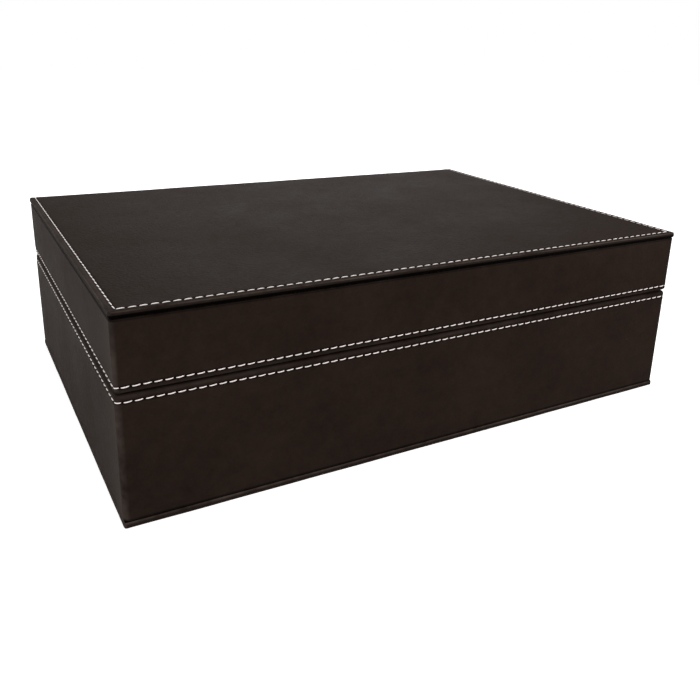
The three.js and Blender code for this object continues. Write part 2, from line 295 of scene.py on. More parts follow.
@dataclass(frozen=True)
class Outline:
    """A rounded rectangle in plan, followed leftwards from the back by way of the front.

    The sides are cut into lines that keep their place as the outline shrinks, so that a
    seam's stitches stay square to it, and only the last stretch by a corner is drawn in.
    """

    half_width: float
    front_y: float
    back_y: float
    front_radius: float
    back_radius: float
    least_radius: float
    radius_loss: float = 1.0
    reference: float = 0.0
    reach: float = 12.0
    closed: bool = True
    corner_rub: float = 0.7
    corner_skew: float = 0.65
    side_rub: float = 0.5
    side_rub_reach: float = 14.0
    margin_rub: float = 0.45

    def radius(self, at_front: bool, inset: Array) -> Array:
        """A corner's radius where the outline is drawn in by an inset."""
        base = self.front_radius if at_front else self.back_radius
        return np.maximum(base - self.radius_loss * inset, self.least_radius)

    def cut(self, at_front: bool, inset: Array) -> Array:
        """How far from the full outline's corner a side's straight part ends."""
        return inset + self.radius(at_front, inset)

    def full_cut(self, at_front: bool) -> float:
        """The cut at the inset of reference, where the path's lengths are measured."""
        return float(self.cut(at_front, np.array(self.reference)))

    def parts(self) -> dict[str, float]:
        """The path's corners and sides.

        Returns:
            The length of each along the path, in order. A corner counts as 1.
        """
        front, back = self.full_cut(True), self.full_cut(False)
        side = self.back_y - self.front_y - front - back
        lengths = {
            "left": side,
            "front": 2 * (self.half_width - front),
            "right": side,
            "back": 2 * (self.half_width - back),
        }
        followed = RING if self.closed else RING[:-1]
        return {name: lengths.get(name, 1.0) for name in followed}

    def start(self, name: str) -> float:
        """Where a side or corner begins along the path."""
        return sum(list(self.parts().values())[: RING.index(name)])

    def at(self, along: Array, inset: Array) -> Array:
        """Points of the outline.

        Args:
            along: Distances along the path.
            inset: How far the outline is drawn in at each of them.

        Returns:
            Rows of X, Y, the outward direction's X and Y, and how much wear and painted highlight
            it has.
        """
        found = np.zeros((5, len(along)))
        travelled = 0.0
        for name, length in self.parts().items():
            end = travelled + length
            here = (along >= travelled - SAME_PLACE) & (along <= end + SAME_PLACE)
            local = along[here] - travelled
            if name in CORNERS:
                found[:, here] = self._round_corner(name, local / length, inset[here])
            else:
                found[:, here] = self._along_side(name, local, length, inset[here])
            travelled = end
        return found

    def _round_corner(self, name: str, turned: Array, drawn: Array) -> Array:
        """The rows for places round a corner.

        Args:
            name: The corner.
            turned: Shares of its turn.
            drawn: The inset at each.

        Returns:
            The rows.
        """
        quarter, side_x, side_y = CORNERS[name]
        at_front = side_y < 0
        angle = (quarter + turned) * QUARTER
        cut, radius = self.cut(at_front, drawn), self.radius(at_front, drawn)
        rub = np.sin(turned * math.pi)
        # At the front, a corner's wear and painted highlight peak towards its side, and the side's
        # painted highlight runs on into it.
        if at_front:
            from_side = turned if side_x < 0 else 1 - turned
            rub = self.corner_rub * np.sin(from_side**self.corner_skew * math.pi)
            rub = np.maximum(rub, self.side_rub * (1 - from_side) ** 2)
        edge_y = self.front_y if at_front else self.back_y
        x = side_x * (self.half_width - cut) + radius * np.cos(angle)
        y = edge_y - side_y * cut + radius * np.sin(angle)
        return np.stack([x, y, np.cos(angle), np.sin(angle), rub])

    def _along_side(self, name: str, local: Array, length: float, drawn: Array) -> Array:
        """The rows for places along a side.

        Args:
            name: The side.
            local: Distances along it.
            length: Its length.
            drawn: The inset at each.

        Returns:
            The rows.
        """
        out_x, out_y = SIDES[name]
        from_front, to_front = name in ("front", "right"), name in ("left", "front")
        shift_from = self.cut(from_front, drawn) - self.full_cut(from_front)
        shift_to = self.cut(to_front, drawn) - self.full_cut(to_front)
        near = np.clip(1 - local / self.reach, 0, 1)
        far = np.clip(1 - (length - local) / self.reach, 0, 1)
        edge_y = self.front_y if name == "front" else self.back_y
        away = (self.half_width if out_x else out_y * edge_y) - drawn
        behind = {"left": self.back_y, "right": -self.front_y}.get(name, self.half_width)
        run = local + shift_from * near - shift_to * far + self.full_cut(from_front) - behind
        rub = np.zeros_like(local)
        # Painted highlight on the left and right sides, fading away from the front corners.
        if out_x:
            from_corner = length - local if to_front else local
            rub = self.side_rub * np.exp(-from_corner / self.side_rub_reach)
        ones = np.ones_like(local)
        place = [out_x * away - out_y * run, out_y * away + out_x * run]
        return np.stack([*place, out_x * ones, out_y * ones, rub])


@dataclass(frozen=True)
class Straight:
    """A straight stretch of a section, between two points of an inset and a height."""

    start: Pair
    end: Pair

    @property
    def length(self) -> float:
        """Length along the section."""
        return math.dist(self.start, self.end)

    def at(self, share: Array) -> Array:
        """Points of the stretch.

        Args:
            share: Shares of its length.

        Returns:
            Rows of inset, height, the parts that face outward and rise, and no roundness.
        """
        run, rise = (b - a for a, b in zip(self.start, self.end))
        ones = np.ones_like(share)
        ways = [ones * rise / self.length, ones * run / self.length, 0 * ones]
        return np.stack([self.start[0] + share * run, self.start[1] + share * rise, *ways])


@dataclass(frozen=True)
class Round:
    """A round stretch of a section about a centre, from one angle to another."""

    centre: Pair
    radius: float
    first: float
    last: float

    @property
    def length(self) -> float:
        """Length along the section."""
        return self.radius * abs(self.last - self.first)

    def at(self, share: Array) -> Array:
        """Points of the stretch.

        Args:
            share: Shares of its length.

        Returns:
            The same rows as a straight stretch has, and a roundness of 1 at the middle.
        """
        angle = self.first + share * (self.last - self.first)
        cos, sin = np.cos(angle), np.sin(angle)
        place = [self.centre[0] + self.radius * cos, self.centre[1] + self.radius * sin]
        return np.stack([*place, -cos, sin, np.sin(share * math.pi)])


@dataclass(frozen=True)
class Section:
    """The path of a sheet round an edge, as insets and heights above the slab's face."""

    stretches: tuple[Straight | Round, ...]

    def start(self, number: int) -> float:
        """Where a stretch begins along the section."""
        return sum(stretch.length for stretch in self.stretches[:number])

    @property
    def length(self) -> float:
        """Length of the whole section."""
        return self.start(len(self.stretches))

    def at(self, along: Array) -> Array:
        """Points of the section.

        Args:
            along: Distances along it.

        Returns:
            Rows of inset, height, the outward and the rising part of the facing direction,
            and how round it is.
        """
        found = np.zeros((5, len(along)))
        for number, stretch in enumerate(self.stretches):
            share = (along - self.start(number)) / stretch.length
            slack = SAME_PLACE / stretch.length
            here = (share >= -slack) & (share <= 1 + slack)
            found[:, here] = stretch.at(np.clip(share[here], 0, 1))
        return found

    def lines(self, steps: Sequence[int], brace: float = 0.25) -> Lines:
        """Lines across the section, evenly spaced within each stretch, and close by its bends.

        Args:
            steps: How many steps each stretch is cut into.
            brace: How far from a bend a straight stretch has a line, which keeps it flat.

        Returns:
            The distances of the lines along the section.
        """
        found: Lines = []
        for number, count in enumerate(steps):
            begin, end = self.start(number), self.start(number + 1)
            if isinstance(self.stretches[number], Straight) and end - begin > 4 * brace:
                found += [begin + brace, end - brace]
            found += steps_from(begin, end, count)
        return distinct(found)


# ---- Sheets ----


@dataclass(frozen=True)
class SeamDent:
    """How a sewn seam pulls leatherette down: a shallow valley, deeper at each needle hole."""

    valley_depth: float = 0.12
    valley_half: float = 0.8
    hole_depth: float = 0.22
    hole_half: float = 0.45
    hole_length: float = 0.5
    swell: float = 0.1
    swell_place: float = 1.45
    swell_half: float = 0.7
    swell_wave: float = 0.4
    reach: float = 2.1
    # The shade painted into the valley beside the thread, and how wide it spreads.
    shade: float = 0.8
    shade_half: float = 0.75
    across: tuple[float, ...] = (0.09, 0.22, 0.36, 0.52, 0.72, 1.0, 1.35, 1.8)
    columns: int = 8

    def depth(self, across: Array, phase: Array, stitch: float, present: Array) -> Array:
        """How deep the outer face is pressed.

        Args:
            across: Distances from the middle of the seam.
            phase: Stitches passed so far along it, whole at the needle holes.
            stitch: Length of one stitch.
            present: 1 along the seam, falling to 0 past its ends.

        Returns:
            The depth at each point.
        """
        off_hole = np.abs(phase - np.round(phase)) * stitch
        valley = self.valley_depth * np.exp(-((across / self.valley_half) ** 2))
        hole = self.hole_depth * np.exp(
            -((across / self.hole_half) ** 2) - (off_hole / self.hole_length) ** 2
        )
        beside = (np.abs(across) - self.swell_place) / self.swell_half
        wave = 1 - self.swell_wave * (1 + np.cos(2 * math.pi * phase))
        puff = self.swell * np.exp(-(beside**2)) * wave
        return np.where(np.abs(across) < self.reach, (valley + hole - puff) * present, 0.0)

    def shadow(self, across: Array, present: Array) -> Array:
        """How much shade is painted into the valley's colour."""
        return self.shade * np.exp(-((across / self.shade_half) ** 2)) * present

    def lines(self, middle: float, low: float, high: float) -> Lines:
        """Lines along a seam inside its strip, close together at the seam's middle."""
        near = [middle + a for a in (*(-a for a in reversed(self.across)), *self.across)]
        return [a for a in near if low + LINE_MARGIN < a < high - LINE_MARGIN]


@dataclass
class Surface:
    """Points of a sheet's outer face, with what the mesh needs to know at each of them."""

    points: Array
    facing: Array
    thickness: Array
    pressed: Array
    rubbed: Array
    # The share of shade painted into the colour at each point, from 0 to 1.
    hollow: Array


class Patch:
    """A stretch of a sheet, laid out in lines along it and across it."""

    along: Lines
    across: Lines

    def finer(self, i: int, j: int) -> tuple[Lines, Lines]:
        """The finer lines inside one cell, along and across; none by default."""
        return [], []

    def open_edge(self, side: str, j: int) -> bool:
        """Whether a border edge of the patch is a cut edge; none are by default."""
        return False

    def surface(self, along: Array, across: Array) -> Surface:
        """The outer face at the given lines."""
        raise NotImplementedError


Cell = tuple[int, int]
Face = tuple[str, list[Pair]]


class Sheet:
    """A sheet of leatherette, made of patches and closed by its inner face and cut edges."""

    wave_count = 9
    wave_lengths = (18.0, 80.0)
    wave_spread = 4.2
    unevenness = 0.06

    def __init__(self, seed: int) -> None:
        """Starts an empty sheet.

        Args:
            seed: Fixes its slow unevenness.
        """
        self.points: list[Array] = []
        self.rubbed: list[Array] = []
        self.hollow: list[Array] = []
        self.faces: list[tuple[int, ...]] = []
        draw = np.random.default_rng(seed)
        directions = draw.normal(size=(self.wave_count, 3))
        directions /= np.linalg.norm(directions, axis=1)[:, None]
        lengths = draw.uniform(*self.wave_lengths, size=self.wave_count)
        self.waves = directions * (2 * math.pi / lengths)[:, None]
        self.shifts = draw.uniform(0, 2 * math.pi, size=self.wave_count)

    def slow_waves(self, points: Array) -> Array:
        """How far the glued sheet lies in from true at some points."""
        waves = np.sin(points @ self.waves.T + self.shifts).sum(axis=1)
        return self.unevenness * np.clip(1 + waves / self.wave_spread, 0, 2)

    def add(self, patch: Patch) -> None:
        """Lays a patch: its outer face, its plainer inner face and its cut edges.

        Args:
            patch: The patch to add.
        """
        cells = product(range(len(patch.along) - 1), range(len(patch.across) - 1))
        fine = {cell: patch.finer(*cell) for cell in cells}
        faces = [face for cell in fine for face in self._cell_faces(patch, fine, cell)]
        outer: dict[Pair, int] = {}
        inner: dict[Pair, int] = {}
        first = sum(len(points) for points in self.points)
        for kind, corners in faces:
            for place in corners:
                if kind != "inner":
                    outer.setdefault(place, first + len(outer))
                if kind != "outer":
                    inner.setdefault(place, len(inner))
        first += len(outer)
        face = patch.surface(*np.array(list(outer)).T)
        waves = self.slow_waves(face.points) * (1 - face.hollow)
        self._keep(face, face.pressed + waves, 1.0)
        face = patch.surface(*np.array(list(inner)).T)
        self._keep(face, face.thickness, 0.0)
        for kind, corners in faces:
            up = [outer[place] for place in corners if kind != "inner"]
            down = [first + inner[place] for place in corners if kind != "outer"]
            self.faces.append((*up, *reversed(down)) if kind == "rim" else (*up, *down))

    def _keep(self, face: Surface, depth: Array, shown: float) -> None:
        """Keeps points of one side of the sheet, with their values.

        Args:
            face: The outer face at them.
            depth: How far below it they lie.
            shown: 1 for the outer side, whose wear, painted highlight and painted shade show, and
                0 for the inner.
        """
        self.points.append(face.points - face.facing * depth[:, None])
        self.rubbed.append(face.rubbed * shown)
        self.hollow.append(face.hollow * shown)

    @staticmethod
    def _cell_faces(patch: Patch, fine: dict[Cell, tuple], cell: Cell) -> list[Face]:
        """The faces of one cell, finer where the patch asks, and joined to finer neighbours.

        Args:
            patch: The patch.
            fine: The finer lines of every cell.
            cell: The cell.

        Returns:
            The faces as places, each told to be outer, inner or a rim.
        """
        i, j = cell
        a0, a1 = patch.along[i : i + 2]
        c0, c1 = patch.across[j : j + 2]
        sub_along, sub_across = fine[cell]
        if sub_along or sub_across:
            rows, columns = [a0, *sub_along, a1], [c0, *sub_across, c1]
            faces = [
                ("outer", [(r0, k0), (r1, k0), (r1, k1), (r0, k1)])
                for r0, r1 in zip(rows, rows[1:])
                for k0, k1 in zip(columns, columns[1:])
            ]
        else:
            nothing: tuple[Lines, Lines] = ([], [])
            below, above = (fine.get((i, j + step), nothing)[0] for step in (-1, 1))
            before, after = (fine.get((i + step, j), nothing)[1] for step in (-1, 1))
            border = [(a, c0) for a in [a0, *below]] + [(a1, c) for c in [c0, *after]]
            border += [(a, c1) for a in [a1, *reversed(above)]]
            border += [(a0, c) for c in [c1, *reversed(before)]]
            faces = [("outer", border)]
        faces.append(("inner", [(a0, c0), (a0, c1), (a1, c1), (a1, c0)]))
        last_along, last_across = len(patch.along) - 2, len(patch.across) - 2
        edges = {
            "along_first": (i == 0, (a0, c0), (a0, c1)),
            "along_last": (i == last_along, (a1, c1), (a1, c0)),
            "across_first": (j == 0, (a1, c0), (a0, c0)),
            "across_last": (j == last_across, (a0, c1), (a1, c1)),
        }
        for side, (on_border, *ends) in edges.items():
            if on_border and patch.open_edge(side, j):
                faces.append(("rim", ends))
        return faces

    def piece(self, name: str) -> bpy.types.Object:
        """Closes the sheet and makes its piece."""
        values = {"rubbed": np.concatenate(self.rubbed), "hollow": np.concatenate(self.hollow)}
        return make_piece(name, np.concatenate(self.points), self.faces, values)


@dataclass(kw_only=True)
class WrappedEdge(Patch):
    """A sheet that follows an outline in plan and a section round an edge or over a rim.

    From thin_from on it is skived to thin. The ends of an open outline are joined to the
    sheet beside them up to split_after. Heights are counted down from turned_over_at, for
    the lid. The painted shade is given as places along the section, and how much shade is
    painted into the colour at each.
    """

    outline: Outline
    section: Section
    along: Lines
    steps: Sequence[int]
    thickness: float
    thin_from: float | None = None
    thin: float = 0.0
    thin_reach: float = 0.8
    split_after: float | None = None
    joined_start: bool = False
    turned_over_at: float | None = None
    hollows: Sequence[Pair] = ()

    def __post_init__(self) -> None:
        """Lays out the lines across."""
        places = [place for place, _ in self.hollows]
        self.across = distinct([*self.section.lines(self.steps), *places])

    def open_edge(self, side: str, j: int) -> bool:
        """Cut edges: the section's far end, and the outline's ends past the split.

        Args:
            side: The border, such as across_last.
            j: The cell's number across.

        Returns:
            Whether it is cut.
        """
        if side.startswith("across"):
            return side == "across_last" or not self.joined_start
        if self.outline.closed or self.split_after is None:
            return False
        return self.across[j] > self.split_after - SAME_LINE

    def hollow_at(self, along: Array, across: Array) -> Array:
        """How much shade is painted into each place's colour, from 0 to 1, and none at open ends.
        """
        ends = 1 if self.outline.closed else np.minimum(along, self.along[-1] - along)
        return np.interp(across, *zip(*self.hollows)) * np.clip(ends, 0, 1)

    def surface(self, along: Array, across: Array) -> Surface:
        """The outer face at the given lines.

        Args:
            along: Places along.
            across: Places across.

        Returns:
            The face at each place.
        """
        inset, height, outward, rising, bend = self.section.at(across)
        x, y, out_x, out_y, corner = self.outline.at(along, inset)
        thickness = np.full_like(along, self.thickness)
        if self.thin_from is not None:
            share = np.clip((across - self.thin_from) / self.thin_reach, 0, 1)
            thickness += share * (self.thin - self.thickness)
        upright = np.abs(outward)
        # Wear on the section's bends and the corners, and painted highlight on the sides near the
        # front and on the flat margins of the left and right sides.
        margin = self.outline.margin_rub * out_x**2 * (1 - upright)
        if self.turned_over_at is not None:
            height, rising = self.turned_over_at - height, -rising
        return Surface(
            points=np.stack([x, y, height], axis=1),
            facing=np.stack([out_x * outward, out_y * outward, rising], axis=1),
            thickness=thickness,
            pressed=np.zeros_like(along),
            rubbed=np.maximum.reduce([bend**2, corner * upright, margin]),
            hollow=self.hollow_at(along, across),
        )


@dataclass(frozen=True)
class SeamRun:
    """A run of a seam along a path, with whole stitches."""

    start: float
    end: float
    count: int
    corner: bool = False

    @property
    def stitch(self) -> float:
        """Length of one stitch along the path."""
        return (self.end - self.start) / self.count

    def phase(self, along: Array) -> Array:
        """Stitches passed at each place."""
        return (along - self.start) / self.stitch


@dataclass
class RimSeam:
    """The seam round a rim, cut into runs: left side, corner, front, corner, right side."""

    sizes: BoxSizes
    outline: Outline
    middle: float
    strip: Pair
    dent: SeamDent
    corner_steps: int = 8
    back_steps: int = 24
    corner_stitch: float = 4.0
    brace: float = 0.25

    def __post_init__(self) -> None:
        """Cuts the seam into runs of whole stitches."""
        sizes, parts = self.sizes, self.outline.parts()
        margin = sizes.seam_end_margin
        left, corner_one, front, corner_two, right = map(self.outline.start, RING[1:6])
        side, across = parts["left"], parts["front"]
        side_count = whole_steps(side - margin, sizes.side_stitch)
        self.runs = [
            SeamRun(left + margin, left + side, side_count),
            SeamRun(corner_one, front, 1, True),
            SeamRun(front, front + across, whole_steps(across, sizes.stitch)),
            SeamRun(corner_two, right, 1, True),
            SeamRun(right, right + side - margin, side_count),
        ]

    def run_at(self, along: float) -> SeamRun | None:
        """The run that passes a place along the outline, or None."""
        return next((run for run in self.runs if run.start < along < run.end), None)

    def lines_along(self) -> Lines:
        """Lines along the outline.

        Returns:
            One at each needle hole, and some round the corners and between the seam's ends.
        """
        lines: Lines = []
        for name, length in self.outline.parts().items():
            begin = self.outline.start(name)
            end = begin + length
            if name in CORNERS:
                lines += steps_from(begin, end, self.corner_steps)
            else:
                lines += [begin, begin + self.brace, end - self.brace, end]
            if name == "back":
                lines += steps_from(begin, end, self.back_steps)
        for run in self.runs:
            if not run.corner:
                lines += steps_from(run.start, run.end, run.count)
        return distinct(lines)

    def phase(self, along: Array) -> tuple[Array, Array, Array]:
        """Where each place is in the seam.

        Args:
            along: Distances along the outline.

        Returns:
            Stitches passed, the length of a stitch, and 1 where the seam is present,
            falling to 0 past its ends.
        """
        phase = np.full_like(along, 0.5)
        stitch = np.full_like(along, self.corner_stitch)
        for run in self.runs:
            here = (along >= run.start - SAME_PLACE) & (along <= run.end + SAME_PLACE)
            phase[here] = run.phase(along[here])
            stitch[here] = self.corner_stitch if run.corner else run.stitch
        beyond = np.maximum(self.runs[0].start - along, along - self.runs[-1].end)
        return np.where(beyond > 0, 0.0, phase), stitch, fading(beyond)


@dataclass(kw_only=True)
class SewnSleeve(WrappedEdge):
    """The leatherette of a tray's four walls, with the seam below its rolled rim."""

    seam: RimSeam
    rim_rub: float = 0.3
    shut_tight: float = 0.45
    roll_margin: float = 0.1

    def __post_init__(self) -> None:
        """Lays out the lines across, with the seam's strip between two of them."""
        super().__post_init__()
        low, high = self.seam.strip
        self.across = distinct(a for a in [*self.across, low, high] if not low < a < high)

    def finer(self, i: int, j: int) -> tuple[Lines, Lines]:
        """Finer lines in the seam's strip.

        Args:
            i: The cell's number along.
            j: Its number across.

        Returns:
            The lines along and the lines across.
        """
        low, high = self.seam.strip
        a0, a1 = self.along[i : i + 2]
        run = self.seam.run_at((a0 + a1) / 2)
        if run is None or abs(self.across[j] - low) > SAME_LINE:
            return [], []
        dent = self.seam.dent
        sub_across = dent.lines(self.seam.middle, low, high)
        if run.corner:
            return [], sub_across
        return lines_between(a0, a1, run.start, run.stitch / dent.columns), sub_across

    def surface(self, along: Array, across: Array) -> Surface:
        """The outer face at the given lines, with the seam's dent.

        Args:
            along: Places along.
            across: Places across.

        Returns:
            The face at each place.
        """
        face = super().surface(along, across)
        phase, stitch, present = self.seam.phase(along)
        off = across - self.seam.middle
        face.pressed = self.seam.dent.depth(off, phase, stitch, present)
        rolled = across > self.section.start(2) + self.roll_margin
        out_x = self.outline.at(along, np.zeros_like(along))[2]
        # Painted shade in the gap between the rims, lighter at the front than on the sides.
        gap = self.shut_tight + (1 - self.shut_tight) * out_x**2
        shadow = self.seam.dent.shadow(off, present)
        face.hollow = np.maximum(face.hollow * np.where(rolled, gap, 1.0), shadow)
        # Less wear and painted highlight on the rolled rim.
        face.rubbed *= np.where(rolled, self.rim_rub, 1.0)
        return face


@dataclass
class TopAndBack(Patch):
    """The sheet over the top, over the back edge, across the fold and down the base's back.

    Its lines along are X, and its lines across are the distance from the front seam, backwards
    over the top and then down the back.
    """

    sizes: BoxSizes
    dent: SeamDent
    strip: float = 1.5
    edge_steps: int = 8
    edge_shade: Pair = (0.4, 0.8)
    fold_rows: int = 14
    crease_depth: float = 0.3
    crease_half: float = 0.5
    crease_shade: float = 0.6
    margin_rub: float = 0.45
    rub_start: float = 0.5
    rub_rise: float = 0.6
    line_margin: float = 0.3

    def __post_init__(self) -> None:
        """Lays out its seams and lines."""
        sizes = self.sizes
        inset = sizes.slab_outer_round
        self.edge_x = sizes.width / 2 - inset
        self.seam_y = -sizes.depth / 2 + sizes.slab_seam_inset
        self.bend_start = sizes.depth / 2 - inset - self.seam_y
        self.bend_end = self.bend_start + QUARTER * inset
        self.bend_height = sizes.height - inset
        self.fold = [self.down_to(sizes.split + side * sizes.fold_reach) for side in (1, -1)]
        top_end = self.fold[0] - sizes.seam_end_margin
        self.top_run = SeamRun(0.0, top_end, whole_steps(top_end, sizes.side_stitch))
        low = self.down_to(sizes.wall_foot + sizes.seam_end_margin)
        high = self.fold[1] + sizes.seam_end_margin
        self.base_run = SeamRun(high, low, whole_steps(low - high, sizes.stitch))
        side = sizes.seam_x
        self.front_run = SeamRun(-side, side, whole_steps(2 * side, sizes.stitch))
        round_start = sizes.height - sizes.slab_thickness + sizes.slab_inner_round
        self.split_line = self.down_to(round_start)
        self.along = self._lines_along()
        self.across = self._lines_across()

    def down_to(self, height: float) -> float:
        """The distance along the sheet to a height on the back."""
        return self.bend_end + self.bend_height - height

    def _lines_along(self) -> Lines:
        """The lines in X.

        Returns:
            A line at each stitch of the front seam, and some beside the long seams.
        """
        inner, outer = self.sizes.seam_x - self.strip, self.sizes.seam_x + self.strip
        run = self.front_run
        middle = lines_between(-inner, inner, run.start, run.stitch, self.line_margin)
        return [-self.edge_x, -outer, -inner, *middle, inner, outer, self.edge_x]

    def _lines_across(self) -> Lines:
        """The lines across, from front to back and down.

        Returns:
            A line at each stitch of the long seams, and some round the edge and at the fold.
        """
        run, base, margin = self.top_run, self.base_run, self.line_margin
        return [
            self.sizes.slab_outer_round - self.sizes.slab_seam_inset,
            -self.strip,
            self.strip,
            *lines_between(self.strip, self.bend_start, 0.0, run.stitch, margin),
            *steps_from(self.bend_start, self.bend_end, self.edge_steps),
            *(self.bend_end + place for place in self.edge_shade),
            self.split_line,
            *lines_between(self.split_line, run.end, 0.0, run.stitch, margin),
            run.end,
            *steps_from(*self.fold, self.fold_rows),
            *steps_from(base.start, base.end, base.count),
            self.down_to(self.sizes.wall_foot),
        ]

    def long_run(self, c0: float, c1: float) -> SeamRun | None:
        """The run of the long seams that passes between two lines across, or None."""
        runs, slack = (self.top_run, self.base_run), SAME_LINE
        return next((r for r in runs if r.start - slack <= c0 and c1 <= r.end + slack), None)

    def finer(self, i: int, j: int) -> tuple[Lines, Lines]:
        """Finer lines in the strips of the long seams and of the front seam.

        Args:
            i: The cell's number along.
            j: Its number across.

        Returns:
            The lines along and the lines across.
        """
        a0, a1 = self.along[i : i + 2]
        c0, c1 = self.across[j : j + 2]
        seam, strip = self.sizes.seam_x, self.strip
        off = abs(a0 + a1) / 2 - seam
        side = math.copysign(seam, a0 + a1)
        along_long = self.dent.lines(side, side - strip, side + strip)
        across_front = self.dent.lines(0.0, -strip, strip)
        in_front = abs(c0 + c1) / 2 < strip
        if abs(off) < strip and in_front:
            return along_long, across_front
        run = self.long_run(c0, c1)
        if abs(off) < strip and run is not None:
            bending = self.bend_start - SAME_LINE <= c0 < self.bend_end - SAME_LINE
            step = run.stitch / self.dent.columns
            return along_long, [] if bending else lines_between(c0, c1, run.start, step)
        if off < -strip and in_front:
            step = self.front_run.stitch / self.dent.columns
            return lines_between(a0, a1, self.front_run.start, step), across_front
        return [], []

    def open_edge(self, side: str, j: int) -> bool:
        """Cut edges: the lower end, and both sides below the slab's edge."""
        below = side.startswith("along") and self.across[j] > self.split_line - SAME_LINE
        return below or side == "across_last"

    def surface(self, along: Array, across: Array) -> Surface:
        """The outer face at the given lines, with the dents of all the seams.

        Args:
            along: Places along.
            across: Places across.

        Returns:
            The face at each place.
        """
        sizes = self.sizes
        inset = sizes.slab_outer_round
        angle = np.clip((across - self.bend_start) / inset, 0, QUARTER)
        y = self.seam_y + np.minimum(across, self.bend_start) + inset * np.sin(angle)
        down = np.maximum(across - self.bend_end, 0)
        z = self.bend_height + inset * np.cos(angle) - down
        outer = sizes.seam_x + self.strip
        edge = self.edge_x - (sizes.slab_corner - inset) * np.sin(angle)
        past = np.maximum(np.abs(along) - outer, 0) * (edge - outer) / (self.edge_x - outer)
        x = np.sign(along) * (np.minimum(np.abs(along), outer) + past)
        off_long = np.abs(along) - sizes.seam_x
        on_top = np.clip(1 - (across - self.bend_start), 0, 1)
        # Painted highlight on the top's margins outside the long seams.
        outwards = np.clip((off_long - self.rub_start) / self.rub_rise, 0, 1)
        # Painted shade in the fold's crease and in the seams' valleys.
        crease = np.exp(-(((z - sizes.split) / self.crease_half) ** 2)) * (down > 0)
        pressed, hollow = np.zeros_like(x), self.crease_shade * crease
        for run, off, place in (
            (self.top_run, off_long, across),
            (self.base_run, off_long, across),
            (self.front_run, across, along),
        ):
            present = fading(np.maximum(run.start - place, place - run.end))
            phase = np.clip(run.phase(place), 0, run.count)
            dent = self.dent.depth(off, phase, run.stitch, present)
            pressed = np.where(np.abs(dent) > np.abs(pressed), dent, pressed)
            hollow = np.maximum(hollow, self.dent.shadow(off, present))
        return Surface(
            points=np.stack([x, y, z], axis=1),
            facing=np.stack([np.zeros_like(x), np.sin(angle), np.cos(angle)], axis=1),
            thickness=np.full_like(x, sizes.leatherette),
            pressed=pressed + self.crease_depth * crease,
            rubbed=np.maximum(np.sin(2 * angle), self.margin_rub * outwards * on_top),
            hollow=hollow,
        )


@dataclass
class SlabFace(Patch):
    """The flat face of the bottom slab, facing down, with lines in X and in Y."""

    thickness: float
    along: Lines
    across: Lines

    def surface(self, along: Array, across: Array) -> Surface:
        """The outer face at the given lines.

        Args:
            along: Places along.
            across: Places across.

        Returns:
            The face at each place.
        """
        zero = np.zeros_like(along)
        points = np.stack([along, across, zero], axis=1)
        facing = np.stack([zero, zero, zero - 1], axis=1)
        return Surface(points, facing, zero + self.thickness, zero, zero, zero)


def round_slab(outline: Outline, x: Lines, y: Lines, corner_steps: int) -> Lines:
    """The lines of a slab's flat face, followed round its outline.

    Args:
        outline: The slab's outline, at the flat face's inset.
        x: Lines across the face in X, whose ends are its borders.
        y: Lines in Y.
        corner_steps: Steps round each corner.

    Returns:
        The lines as distances along the outline, in order.
    """
    lines: Lines = []
    for name, length in outline.parts().items():
        begin = outline.start(name)
        if name in CORNERS:
            lines += steps_from(begin, begin + length, corner_steps)
        elif name in ("left", "right"):
            lines += [begin + (y[-1] - place if name == "left" else place - y[0]) for place in y]
        else:
            lines += [begin + (place - x[0] if name == "front" else x[-1] - place) for place in x]
    return distinct(lines)


# ---- Node trees ----


class Wire:
    """A value in a node tree. Arithmetic on it adds Math nodes."""

    def __init__(self, build: "TreeBuilder", socket: bpy.types.NodeSocket) -> None:
        """Takes hold of an output."""
        self.build = build
        self.socket = socket

    def __add__(self, other: "Wire | float") -> "Wire":
        """The sum."""
        return self.build.math("ADD", self, other)

    def __sub__(self, other: "Wire | float") -> "Wire":
        """The difference."""
        return self.build.math("SUBTRACT", self, other)

    def __rsub__(self, other: float) -> "Wire":
        """A number less this value."""
        return self.build.math("SUBTRACT", other, self)

    def __mul__(self, other: "Wire | float") -> "Wire":
        """The product."""
        return self.build.math("MULTIPLY", self, other)

    def __pow__(self, power: float) -> "Wire":
        """A power."""
        return self.build.math("POWER", self, power)

    def clamped(self) -> "Wire":
        """The result of its Math node, kept between 0 and 1."""
        self.socket.node.use_clamp = True
        return self

    def spread(self, ends: Pair) -> "Wire":
        """A value from 0 to 1 as one between two other ends."""
        return self * (ends[1] - ends[0]) + ends[0]

    def scaled(self, by: "Wire | float") -> "Wire":
        """A vector times a number."""
        return self.build.wire("ShaderNodeVectorMath", {0: self, "Scale": by}, operation="SCALE")

    def shifted(self, by: "Wire") -> "Wire":
        """A vector plus another."""
        return self.build.wire("ShaderNodeVectorMath", {0: self, 1: by}, operation="ADD")


